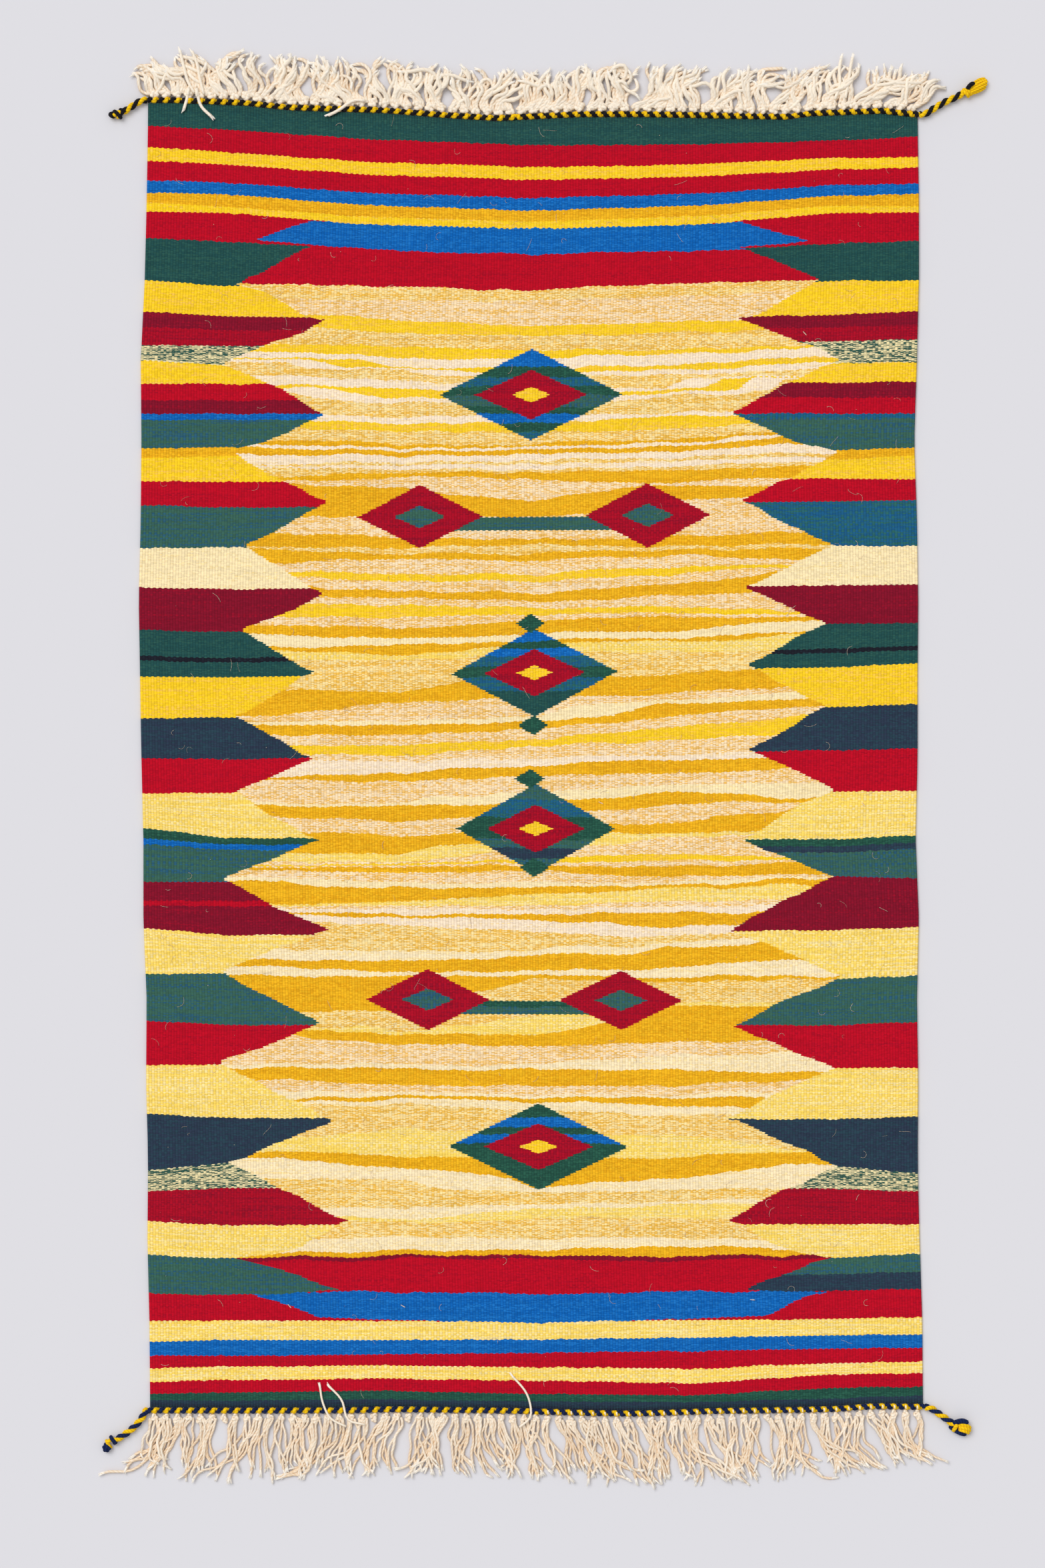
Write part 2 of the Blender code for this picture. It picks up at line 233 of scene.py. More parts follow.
LEFT_TEETH = turns(
    (319, 478), (328, 476), (337, 447), (350, 410), (361, 379), (364, 476), (369, 471), (374, 455),
    (383, 439), (401, 406), (410, 390), (414, 378), (428, 355), (436, 396), (456, 429), (475, 459),
    (479, 487), (484, 479), (500, 453), (515, 405), (532, 364), (545, 331), (562, 375), (577, 403),
    (584, 423), (598, 447), (610, 462), (622, 486), (637, 453), (650, 429), (664, 394), (670, 360),
    (675, 345), (695, 375), (710, 402), (722, 426), (733, 450), (744, 468), (752, 493), (765, 468),
    (780, 441), (798, 411), (818, 366), (837, 396), (855, 426), (871, 450), (883, 468), (889, 486),
    (903, 463), (915, 441), (927, 408), (944, 360), (952, 375), (972, 405), (988, 432), (999, 450),
    (1008, 472), (1016, 450), (1035, 426), (1049, 399), (1065, 375), (1073, 351), (1085, 375),
    (1103, 405), (1116, 432), (1130, 450), (1138, 470), (1146, 450), (1160, 420), (1173, 387),
    (1186, 354), (1208, 384), (1226, 411), (1241, 441), (1256, 465), (1260, 486), (1265, 462),
    (1275, 441), (1289, 408), (1304, 369), (1318, 333), (1330, 360), (1348, 390), (1363, 417),
    (1376, 450), (1385, 474), (1394, 494), (1402, 468), (1414, 444), (1420, 420), (1432, 390),
    (1447, 354), (1458, 333), (1474, 360), (1489, 390), (1504, 420), (1519, 450), (1534, 481),
    (1543, 459), (1555, 432), (1568, 402), (1577, 375), (1586, 345), (1594, 328), (1612, 360),
    (1621, 387), (1638, 411), (1651, 444), (1663, 468), (1677, 486), (1682, 504), (1693, 471),
    (1705, 441), (1719, 405), (1734, 375), (1744, 340), (1753, 363), (1767, 390), (1783, 418),
    (1795, 450), (1813, 480), (1824, 501), (1830, 523), (1834, 510), (1849, 492), (1861, 465),
    (1875, 444), (1881, 414), (1887, 352), (1894, 378), (1903, 418), (1914, 451), (1926, 478),
    (1936, 512), (1942, 374), (1955, 426), (1968, 459), (1979, 484),
)
RIGHT_TEETH = turns(
    (318, 1098), (327, 1101), (338, 1129), (347, 1160), (352, 1184), (359, 1205), (364, 1216),
    (368, 1101), (372, 1113), (380, 1133), (390, 1164), (398, 1180), (408, 1205), (419, 1230),
    (428, 1216), (439, 1195), (450, 1176), (464, 1153), (473, 1134), (478, 1107), (487, 1135),
    (500, 1165), (511, 1193), (523, 1231), (540, 1262), (551, 1230), (566, 1203), (578, 1174),
    (589, 1157), (595, 1142), (607, 1122), (619, 1097), (631, 1126), (643, 1150), (653, 1171),
    (662, 1192), (670, 1219), (675, 1260), (686, 1243), (697, 1225), (706, 1204), (718, 1186),
    (723, 1166), (732, 1153), (742, 1132), (751, 1111), (760, 1135), (775, 1156), (786, 1180),
    (796, 1204), (807, 1225), (818, 1253), (829, 1225), (844, 1195), (859, 1165), (874, 1135),
    (881, 1115), (891, 1144), (906, 1174), (921, 1204), (934, 1241), (942, 1225), (955, 1195),
    (969, 1174), (984, 1150), (996, 1121), (1008, 1145), (1022, 1162), (1030, 1183), (1044, 1207),
    (1058, 1241), (1074, 1210), (1094, 1183), (1110, 1150), (1124, 1123), (1136, 1150), (1149, 1180),
    (1163, 1210), (1185, 1253), (1197, 1225), (1203, 1204), (1217, 1183), (1235, 1156), (1248, 1138),
    (1259, 1114), (1274, 1144), (1281, 1168), (1292, 1195), (1305, 1225), (1314, 1250), (1327, 1225),
    (1339, 1204), (1348, 1180), (1364, 1153), (1378, 1123), (1396, 1096), (1405, 1120), (1415, 1150),
    (1429, 1180), (1441, 1210), (1456, 1240), (1463, 1262), (1477, 1240), (1489, 1207), (1504, 1168),
    (1523, 1135), (1540, 1102), (1552, 1129), (1562, 1156), (1573, 1180), (1585, 1210), (1601, 1254),
    (1610, 1234), (1621, 1207), (1635, 1177), (1651, 1141), (1665, 1120), (1678, 1090), (1683, 1114),
    (1698, 1144), (1714, 1177), (1726, 1210), (1741, 1234), (1750, 1259), (1758, 1234), (1779, 1201),
    (1782, 1180), (1797, 1150), (1815, 1120), (1832, 1091), (1837, 1114), (1854, 1138), (1866, 1162),
    (1875, 1189), (1881, 1210), (1886, 1252), (1892, 1221), (1902, 1201), (1910, 1180), (1922, 1144),
    (1929, 1131), (1935, 1116), (1937, 1242), (1946, 1205), (1955, 1185), (1967, 1164), (1977, 1142),
)

# The columns at which the bands' edges and the middle's streaks are charted.
BAND_COLUMNS = (222, 340, 560, 800, 1040, 1250, 1376)
STREAK_COLUMNS = (420, 600, 800, 1000, 1180)

# The least number of picks between two corners of a charted edge, and how far a bead's ends slant.
LEAST_PICKS = 0.05
BEAD_SLANT = 0.4


@dataclass(frozen=True)
class Streak:
    """A streak of the middle: its yarn, and its lower edge's row at each charted column."""

    yarn: Yarn
    rows: tuple[int, int, int, int, int]


STREAKS = tuple(
    Streak(yarn, tuple(rows))
    for yarn, *rows in (
        (Yarn.BLUE, 365, 376, 382, 376, 369), (Yarn.RED, 428, 431, 437, 428, 422),
        (Yarn.GOLD_TWEED, 448, 449, 452, 445, 437), (Yarn.CREAM_TWEED, 470, 484, 489, 483, 478),
        (Yarn.YELLOW, 486, 501, 504, 498, 494), (Yarn.GOLD_TWEED, 517, 520, 525, 528, 520),
        (Yarn.YELLOW, 527, 536, 537, 529, 521), (Yarn.MILK, 536, 551, 560, 550, 538),
        (Yarn.YELLOW, 537, 552, 561, 554, 545), (Yarn.MILK, 541, 553, 565, 561, 555),
        (Yarn.GOLD_TWEED, 564, 571, 580, 583, 564), (Yarn.MILK, 580, 584, 584, 584, 565),
        (Yarn.YELLOW, 581, 598, 597, 590, 566), (Yarn.MILK, 582, 603, 603, 591, 567),
        (Yarn.GOLD_TWEED, 625, 625, 624, 622, 617), (Yarn.MILK, 630, 635, 634, 624, 619),
        (Yarn.YELLOW, 640, 647, 648, 644, 631), (Yarn.GOLD_TWEED, 660, 670, 668, 662, 652),
        (Yarn.GOLD, 666, 673, 669, 663, 653), (Yarn.MILK, 670, 677, 673, 668, 656),
        (Yarn.GOLD, 682, 684, 680, 677, 668), (Yarn.MILK, 698, 694, 693, 688, 683),
        (Yarn.GOLD_TWEED, 699, 696, 695, 690, 685), (Yarn.MILK, 701, 703, 706, 701, 694),
        (Yarn.GOLD_TWEED, 718, 707, 709, 704, 698), (Yarn.GOLD, 720, 712, 719, 727, 715),
        (Yarn.CREAM_TWEED, 722, 729, 752, 728, 730), (Yarn.GOLD, 776, 778, 774, 750, 742),
        (Yarn.CREAM_TWEED, 799, 807, 810, 807, 799), (Yarn.GOLD, 822, 822, 816, 822, 818),
        (Yarn.GOLD_TWEED, 824, 829, 831, 824, 820), (Yarn.GOLD, 846, 835, 840, 832, 840),
        (Yarn.CREAM_TWEED, 859, 861, 863, 852, 848), (Yarn.YELLOW, 865, 871, 871, 862, 852),
        (Yarn.CREAM_TWEED, 880, 888, 890, 876, 856), (Yarn.GOLD, 892, 898, 902, 894, 882),
        (Yarn.CREAM_TWEED, 904, 908, 911, 912, 920), (Yarn.YELLOW, 926, 927, 921, 920, 922),
        (Yarn.CREAM_TWEED, 937, 942, 930, 923, 925), (Yarn.GOLD, 951, 958, 952, 948, 930),
        (Yarn.BUTTER, 972, 967, 962, 958, 948), (Yarn.GOLD, 974, 985, 966, 960, 949),
        (Yarn.STRAW, 984, 987, 980, 977, 977), (Yarn.GOLD_TWEED, 1035, 1037, 1010, 1013, 1000),
        (Yarn.GOLD, 1076, 1053, 1047, 1043, 1031), (Yarn.CREAM_TWEED, 1085, 1086, 1078, 1052, 1038),
        (Yarn.BUTTER, 1086, 1088, 1080, 1054, 1049), (Yarn.GOLD, 1103, 1103, 1092, 1077, 1062),
        (Yarn.CREAM_TWEED, 1118, 1118, 1110, 1091, 1074), (Yarn.YELLOW, 1132, 1134, 1119, 1110, 1100),
        (Yarn.CREAM_TWEED, 1136, 1141, 1136, 1136, 1128), (Yarn.MILK, 1166, 1160, 1147, 1139, 1131),
        (Yarn.GOLD, 1168, 1172, 1162, 1161, 1154), (Yarn.CREAM_TWEED, 1205, 1206, 1190, 1179, 1173),
        (Yarn.BUTTER, 1207, 1208, 1200, 1187, 1197), (Yarn.GOLD, 1226, 1232, 1220, 1209, 1202),
        (Yarn.CREAM_TWEED, 1248, 1253, 1245, 1233, 1214), (Yarn.GOLD, 1280, 1281, 1266, 1250, 1247),
        (Yarn.STRAW, 1292, 1293, 1268, 1251, 1248), (Yarn.CREAM_TWEED, 1298, 1295, 1290, 1281, 1288),
        (Yarn.YELLOW, 1299, 1297, 1295, 1291, 1289), (Yarn.CREAM_TWEED, 1300, 1299, 1299, 1300, 1292),
        (Yarn.GOLD, 1304, 1309, 1306, 1316, 1312), (Yarn.CREAM_TWEED, 1318, 1325, 1325, 1325, 1317),
        (Yarn.BUTTER, 1321, 1331, 1331, 1327, 1318), (Yarn.GOLD, 1357, 1355, 1341, 1331, 1327),
        (Yarn.STRAW, 1358, 1361, 1358, 1353, 1350), (Yarn.CREAM_TWEED, 1360, 1364, 1364, 1361, 1357),
        (Yarn.MILK, 1369, 1374, 1371, 1369, 1367), (Yarn.GOLD, 1370, 1375, 1381, 1393, 1385),
        (Yarn.MILK, 1376, 1386, 1396, 1405, 1390), (Yarn.GOLD_TWEED, 1424, 1427, 1428, 1417, 1406),
        (Yarn.CREAM, 1439, 1441, 1431, 1419, 1407), (Yarn.GOLD, 1450, 1461, 1457, 1453, 1440),
        (Yarn.CREAM, 1462, 1465, 1463, 1468, 1465), (Yarn.GOLD, 1517, 1517, 1466, 1470, 1467),
        (Yarn.GOLD_TWEED, 1540, 1549, 1524, 1503, 1506), (Yarn.STRAW, 1542, 1551, 1552, 1505, 1508),
        (Yarn.GOLD, 1544, 1566, 1568, 1565, 1563), (Yarn.CREAM_TWEED, 1598, 1600, 1598, 1583, 1579),
        (Yarn.CREAM, 1600, 1602, 1603, 1602, 1609), (Yarn.GOLD, 1621, 1629, 1629, 1629, 1620),
        (Yarn.CREAM_TWEED, 1636, 1639, 1644, 1644, 1639), (Yarn.CREAM, 1650, 1644, 1646, 1646, 1641),
        (Yarn.GOLD, 1652, 1648, 1652, 1660, 1664), (Yarn.CREAM, 1654, 1656, 1664, 1672, 1670),
        (Yarn.GOLD_TWEED, 1709, 1693, 1700, 1702, 1725), (Yarn.STRAW, 1729, 1734, 1735, 1737, 1728),
        (Yarn.GOLD, 1737, 1752, 1782, 1770, 1746), (Yarn.CREAM, 1767, 1770, 1786, 1785, 1782),
        (Yarn.GOLD_TWEED, 1812, 1814, 1808, 1804, 1800), (Yarn.CREAM, 1826, 1831, 1812, 1806, 1802),
        (Yarn.STRAW, 1828, 1833, 1828, 1828, 1824), (Yarn.GOLD_TWEED, 1862, 1856, 1858, 1858, 1862),
        (Yarn.CREAM, 1880, 1876, 1875, 1869, 1872), (Yarn.GOLD, 1886, 1883, 1883, 1885, 1884),
        (Yarn.MAROON, 1889, 1887, 1887, 1889, 1887), (Yarn.RED, 1938, 1938, 1941, 1938, 1936),
        (Yarn.BLUE, 1979, 1981, 1982, 1980, 1978),
    )
)


@dataclass(frozen=True)
class Medallion:
    """A stepped diamond on the middle line, or a pair of them to either side of it.

    Args:
        column: the middle line's column.
        row: the middle's row.
        half_width: from the middle to a side tip, in columns.
        half_height: from the middle to the top, in rows.
        apart: how far each of a pair lies from the middle line, or 0 for a single one.
        until: the row at which the chart goes on to the next medallion.
    """

    column: int
    row: int
    half_width: float
    half_height: float
    apart: float
    until: int


MEDALLIONS = (
    Medallion(797, 592, 138, 69, 0, 695),
    Medallion(801, 774, 94, 48, 171, 880),
    Medallion(802, 1009, 124, 66, 0, 1122),
    Medallion(804, 1243, 120, 67, 0, 1390),
    Medallion(787, 1500, 93, 45, 146, 1600),
    Medallion(808, 1720, 135, 65, 0, 1985),
)
BAR_DROP = 11
BAR_HALF_HEIGHT = 10
INNER_SHARE = (0.61, 0.54)
CORE_SHARE = (0.215, 0.165)
PAIR_CORE_SHARE = (0.42, 0.36)
SMALL_DIAMONDS = ((796, 935), (800, 1088), (795, 1168), (802, 1301))
SMALL_HALF_WIDTH = 22
SMALL_HALF_HEIGHT = 15

# The yarns that the diamonds' outer steps are woven with, each down to its row.
DIAMOND_YARNS = (
    (Yarn.BLUE, 552), (Yarn.SPRUCE, 566), (Yarn.LAGOON, 580), (Yarn.SPRUCE, 592), (Yarn.TEAL, 612),
    (Yarn.SPRUCE, 621), (Yarn.BLUE, 635), (Yarn.SPRUCE, 646), (Yarn.LAGOON, 700), (Yarn.TEAL, 900),
    (Yarn.SPRUCE, 947), (Yarn.BLUE, 962), (Yarn.SPRUCE, 972), (Yarn.BLUE, 984), (Yarn.LAGOON, 1000),
    (Yarn.SPRUCE, 1016), (Yarn.LAGOON, 1036), (Yarn.FOREST, 1078), (Yarn.SPRUCE, 1140),
    (Yarn.TEAL, 1200), (Yarn.LAGOON, 1226), (Yarn.SPRUCE, 1260), (Yarn.TEAL, 1272), (Yarn.NAVY, 1286),
    (Yarn.TEAL, 1400), (Yarn.SPRUCE, 1511), (Yarn.TEAL, 1550), (Yarn.SPRUCE, 1677), (Yarn.BLUE, 1691),
    (Yarn.SPRUCE, 1701), (Yarn.BLUE, 1713), (Yarn.SPRUCE, 1750),
)


@dataclass(frozen=True)
class Selvedge:
    """How far out the two sides lie at a height up the rug, in millimetres."""

    along: float
    left: float
    right: float


@dataclass(frozen=True)
class Sag:
    """A point of a twined edge's line, in millimetres."""

    across: float
    along: float


SELVEDGES = tuple(
    Selvedge(*row)
    for row in (
        (575, -345.6, 347.4), (503, -346.8, 348.6), (431, -348.6, 348.6), (359, -352.2, 346.8),
        (287, -351.6, 344.4), (215, -352.2, 346.8), (143, -354.0, 348.0), (71, -352.8, 347.4),
        (-1, -351.6, 347.4), (-73, -349.8, 345.6), (-145, -349.8, 348.6), (-217, -346.8, 346.8),
        (-289, -347.4, 348.0), (-361, -345.6, 347.4), (-433, -346.2, 349.2), (-505, -344.4, 351.6),
        (-577, -343.8, 352.2),
    )
)
HEAD_LINE = tuple(
    Sag(*row)
    for row in (
        (-347, 592.8), (-323, 592.8), (-259, 590.4), (-218, 586.2), (-135, 583.8), (-73, 579.0),
        (-32, 576.6), (44, 580.2), (106, 580.2), (189, 578.4), (230, 577.8), (251, 580.8),
        (316, 583.2), (349, 579.6),
    )
)
FOOT_LINE = tuple(
    Sag(*row)
    for row in (
        (-347, -586.6), (-261, -586.8), (-165, -586.6), (-127, -585.6), (-23, -586.8), (53, -589.0),
        (92, -589.6), (168, -587.1), (241, -586.2), (275, -585.3), (309, -582.8), (354, -583.5),
    )
)


def line_height(line: Sequence[Sag], across: float) -> float:
    """How far up the rug a twined edge's line lies.

    Args:
        line: the line's points, from the left.
        across: the place across the rug, in metres.
    Returns:
        The height up the rug, in metres.
    """
    places, heights = [row.across * MM for row in line], [row.along * MM for row in line]
    return float(np.interp(across, places, heights))


class Chart:
    """The weave as charted: where each pick and rib lies, and which yarn shows there."""

    def __init__(self) -> None:
        """Count the picks down to each band's lower edge."""
        edges = [HEAD_EDGE, *BANDS]
        self.means = [(band.left + band.right) / 2 for band in edges]
        self.heights = [self._edge_heights(band) for band in edges]
        self.picks = [(mean - self.means[0]) * SQUARE / PICK for mean in self.means]
        self.total = self.picks[-1]

    @staticmethod
    def _edge_heights(band: Band) -> Callable[[float], float]:
        """The height up the rug of a band's lower edge, as a function of the place across, in metres.

        Args:
            band: the band.
        Returns:
            The function.
        """
        middle = (band.left + band.right) / 2 + band.sag
        low, high = ((end + middle) / 2 + band.sag / 6 for end in (band.left, band.right))
        rows = (band.left_rim, band.left, *(band.inner or (low, middle, high)), band.right, band.right_rim)
        places, heights = zip(*map(spot, BAND_COLUMNS, rows))
        return lambda across: float(np.interp(across, places, heights))

    def height(self, pick: float, across: float) -> float:
        """The height up the rug at which a pick lies, at a place across, in metres.

        Args:
            pick: the pick, in whole and parts.
            across: the place across the rug, in metres.
        Returns:
            The height.
        """
        low = min(max(bisect_right(self.picks, pick) - 1, 0), len(self.picks) - 2)
        share = (pick - self.picks[low]) / (self.picks[low + 1] - self.picks[low])
        top = self._line(low, across)
        return top + share * (self._line(low + 1, across) - top)

    def _line(self, index: int, across: float) -> float:
        """The height of one charted edge, where the first and last are the ends of the weave.

        Args:
            index: the edge's number, from the head.
            across: the place across the rug, in metres.
        Returns:
            The height, in metres.
        """
        if index == 0:
            return line_height(HEAD_LINE, across) - WEAVE_INSET
        if index == len(self.picks) - 1:
            return line_height(FOOT_LINE, across) + WEAVE_INSET
        return self.heights[index](across)

    def pick_at(self, row: float, column: float) -> float:
        """The pick, in whole and parts, that lies at a square of the chart.

        Args:
            row: the square's row.
            column: the square's column.
        Returns:
            The pick.
        """
        across, height = spot(column, row)
        heights = [self._line(index, across) for index in range(len(self.picks))]
        return float(np.interp(-height, [-value for value in heights], self.picks))

    @staticmethod
    def sides(along: float) -> tuple[float, float]:
        """Where the two selvedges lie at a height up the rug, in metres.

        Args:
            along: the place up the rug, in metres.
        Returns:
            The left one's place across, and the right one's.
        """
        rows = SELVEDGES[::-1]
        heights = [row.along * MM for row in rows]
        left = np.interp(along, heights, [row.left * MM for row in rows])
        right = np.interp(along, heights, [row.right * MM for row in rows])
        return float(left), float(right)

    def rib_at(self, row: float, column: float) -> float:
        """The rib, in whole and parts, that lies at a square of the chart.

        Args:
            row: the square's row.
            column: the square's column.
        Returns:
            The rib.
        """
        across, along = spot(column, row)
        left, right = self.sides(along)
        return (across - left) / (right - left) * RIBS

    def band_curve(self) -> Curve:
        """The band's number at each charted pick."""
        return [(pick, float(index)) for index, pick in enumerate(self.picks)]

    def teeth_curve(self, edge: Sequence[Turn], resting_rib: float) -> Curve:
        """How far the teeth reach, in ribs, by pick. Beyond the toothed bands the edge rests at one rib.

        Args:
            edge: the corners of the edge.
            resting_rib: that one rib.
        Returns:
            The curve's picks and ribs.
        """
        first, last = self.picks[FIRST_TOOTHED_BAND], self.picks[LAST_TOOTHED_BAND + 1]
        curve = [(0.0, resting_rib), (first - LEAST_PICKS, resting_rib)]
        for turn in edge:
            pick = self.pick_at(turn.row, turn.column)
            curve.append((max(pick, curve[-1][0] + LEAST_PICKS), self.rib_at(turn.row, turn.column)))
        return [*curve, (max(last, curve[-1][0] + LEAST_PICKS), resting_rib), (self.total, resting_rib)]

    def diamond_curve(self) -> Curve:
        """The number of the diamonds' own yarn by pick."""
        edges = [self.pick_at(row, MIDDLE_COLUMN) for _, row in DIAMOND_YARNS]
        return [(0.0, 0.0), *((pick, float(index)) for index, pick in enumerate(edges, start=1))]

    def streak_curve(self, place: int) -> Curve:
        """The streak's number by pick, at one of the charted columns.

        Args:
            place: which of the columns.
        Returns:
            The curve's picks and numbers.
        """
        column = STREAK_COLUMNS[place]
        curve = [(self.picks[FIRST_TOOTHED_BAND] - LEAST_PICKS, 0.0)]
        for index, charted in enumerate(STREAKS, start=1):
            pick = self.pick_at(charted.rows[place], column)
            curve.append((max(pick, curve[-1][0] + LEAST_PICKS), float(index)))
        return curve


def sign(operation: str, reflected: bool = False) -> Callable[["Wire", "Wire | float"], "Wire"]:
    """The method behind one arithmetic sign, which adds one Math node.

    Args:
        operation: the Math node's operation.
        reflected: whether the other value comes first.
    Returns:
        The method.
    """

    def method(self: "Wire", other: "Wire | float") -> "Wire":
        """This with the other value."""
        first, second = (other, self) if reflected else (self, other)
        return self.graph.maths(operation, first, second)

    return method


@dataclass
class Wire:
    """A shader socket that can be used in sums. A comparison gives 1 where it holds, and else 0."""

    graph: "Graph"
    socket: bpy.types.NodeSocket

    __add__, __radd__ = sign("ADD"), sign("ADD", reflected=True)
    __sub__, __rsub__ = sign("SUBTRACT"), sign("SUBTRACT", reflected=True)
    __mul__, __rmul__ = sign("MULTIPLY"), sign("MULTIPLY", reflected=True)
    __truediv__, __rtruediv__ = sign("DIVIDE"), sign("DIVIDE", reflected=True)
    __lt__, __gt__ = sign("LESS_THAN"), sign("GREATER_THAN")

    def __abs__(self) -> "Wire":
        """This without its sign."""
        return self.graph.maths("ABSOLUTE", self)

    def floor(self) -> "Wire":
        """The whole number below this."""
        return self.graph.maths("FLOOR", self)


class Graph:
    """A material's nodes, made by one method, with a Principled shader at their end."""

    def __init__(self, name: str, roughness: float) -> None:
        """Start a material.

        Args:
            name: the material's name.
            roughness: the shader's own roughness.
        """
        self.material = bpy.data.materials.new(name)
        self.material.use_nodes = True
        self.tree = self.material.node_tree
        self.shader = self.tree.nodes["Principled BSDF"]
        self.shader.inputs["Roughness"].default_value = roughness
        self.shader.inputs["Specular IOR Level"].default_value = 0.1

    def node(self, kind: str, settings: dict[str, Any], sockets: dict[str | int, Any]) -> bpy.types.Node:
        """Add any node.

        Args:
            kind: the node's type, without its ShaderNode prefix.
            settings: its own settings, with "stops" for a ramp and "curves" for a Vector Curves node.
            sockets: the value or the wire for each of its sockets, by name or number.
        Returns:
            The node.
        """
        made = self.tree.nodes.new("ShaderNode" + kind)
        for key, value in settings.items():
            if key == "stops":
                self._set_stops(made.color_ramp, value)
            elif key == "curves":
                self._set_curves(made.mapping, value)
            else:
                setattr(made, key, value)
        for key, value in sockets.items():
            if isinstance(value, Wire):
                self.tree.links.new(value.socket, made.inputs[key])
            else:
                made.inputs[key].default_value = value
        return made

    def wire(self, kind: str, settings: dict[str, Any], sockets: dict[str | int, Any],
             output: str | int = 0) -> Wire:
        """Add a node and take one of its outputs."""
        return Wire(self, self.node(kind, settings, sockets).outputs[output])

    @staticmethod
    def _set_stops(ramp: bpy.types.ColorRamp, stops: Sequence[tuple[float, Colour]]) -> None:
        """Give a ramp steps with hard edges, each a place and the colour from there on.

        Args:
            ramp: the ramp.
            stops: the places, from 0 to 1, and the colours.
        """
        ramp.interpolation = "CONSTANT"
        while len(ramp.elements) < len(stops):
            ramp.elements.new(1.0)
        for index, (place, colour) in enumerate(stops):
            ramp.elements[index].position = place
            ramp.elements[index].color = colour

    @staticmethod
    def _set_curves(mapping: bpy.types.CurveMapping, curves: Sequence[Curve]) -> None:
        """Give a Vector Curves node straight-sided curves over 0 to 1.

        Args:
            mapping: the node's own curves.
            curves: the points of each.
        """
        mapping.use_clip = False
        for curve, points in zip(mapping.curves, curves):
            curve.points[0].location = points[0]
            curve.points[1].location = points[-1]
            for point in points[1:-1]:
                curve.points.new(*point)
            for point in curve.points:
                point.handle_type = "VECTOR"
        mapping.update()

    def maths(self, operation: str, first: Wire | float, second: Wire | float = 0.0) -> Wire:
        """One Math node."""
        return self.wire("Math", {"operation": operation}, {0: first, 1: second})

    def vector(self, *parts: Wire | float) -> Wire:
        """Three numbers as a vector."""
        return self.wire("CombineXYZ", {}, dict(enumerate(parts)))

    def ramp(self, stops: Sequence[tuple[float, Colour]], place: Wire) -> Wire:
        """The colour of a stepped ramp at a place from 0 to 1."""
        return self.wire("ValToRGB", {"stops": stops}, {0: place}, "Color")

    def parts(self, colour: Wire) -> tuple[Wire, Wire, Wire]:
        """A colour's red, green and blue."""
        node = self.node("SeparateColor", {}, {0: colour})
        return tuple(Wire(self, node.outputs[index]) for index in range(3))

    def stretch(self, value: Wire, low: float, high: float, start: float, end: float) -> Wire:
        """The value drawn from one range to another, and held at its ends."""
        return self.wire("MapRange", {"clamp": True}, {0: value, 1: low, 2: high, 3: start, 4: end})

    def split(self, vector: Wire) -> tuple[Wire, Wire, Wire]:
        """A vector's three numbers."""
        node = self.node("SeparateXYZ", {}, {0: vector})
        return tuple(Wire(self, node.outputs[index]) for index in range(3))

    def blend(self, share: Wire | float, first: Wire | Colour, second: Wire | Colour,
              mode: str = "MIX") -> Wire:
        """Two colours mixed."""
        settings = {"data_type": "RGBA", "blend_type": mode}
        return self.wire("Mix", settings, {0: share, 6: first, 7: second}, 2)

    def shaded(self, colour: Wire, shade: Wire) -> Wire:
        """A colour made lighter or darker."""
        return self.blend(1.0, colour, self.vector(shade, shade, shade), "MULTIPLY")

    def pick(self, share: Wire, first: Wire | float, second: Wire | float) -> Wire:
        """The first number where share is 0, and the second where it is 1."""
        return self.wire("Mix", {"data_type": "FLOAT"}, {0: share, 2: first, 3: second}, 0)

    def noise(self, vector: Wire, scale: float, detail: float) -> Wire:
        """Soft noise from 0 to 1."""
        return self.wire("TexNoise", {}, {"Vector": vector, "Scale": scale, "Detail": detail}, "Fac")

    def hash(self, vector: Wire) -> Wire:
        """A number from 0 to 1 that differs at random from one place to the next."""
        return self.wire("TexWhiteNoise", {"noise_dimensions": "3D"}, {"Vector": vector}, "Value")

    def finish(self, colour: Wire, height: Wire, depth: float, strength: float) -> bpy.types.Material:
        """Feed the shader its colour and its relief.

        Args:
            colour: the base colour.
            height: the relief, from 0 to 1.
            depth: how deep that relief is, in metres.
            strength: how strongly it shades.
        Returns:
            The material.
        """
        bump = self.wire("Bump", {}, {"Strength": strength, "Distance": depth, "Height": height})
        self.tree.links.new(colour.socket, self.shader.inputs["Base Color"])
        self.tree.links.new(bump.socket, self.shader.inputs["Normal"])
        return self.material


# A ramp is read at entries a few apart, so that a number always falls inside its own step.
RAMP_ENTRIES = 255
ENTRIES_EACH = 8
PER_RAMP = 31
CHART_PARTS = 4
SIZE_RANGE = 100.0


def ramp_start(number: int) -> float:
    """Where a number's own step of a ramp begins."""
    return max(0.0, (number * ENTRIES_EACH - 1) / RAMP_ENTRIES)


def ramp_place(number: Wire | int) -> Wire | float:
    """The middle of a number's own step of a ramp."""
    return (number * ENTRIES_EACH + ENTRIES_EACH / 2) / RAMP_ENTRIES


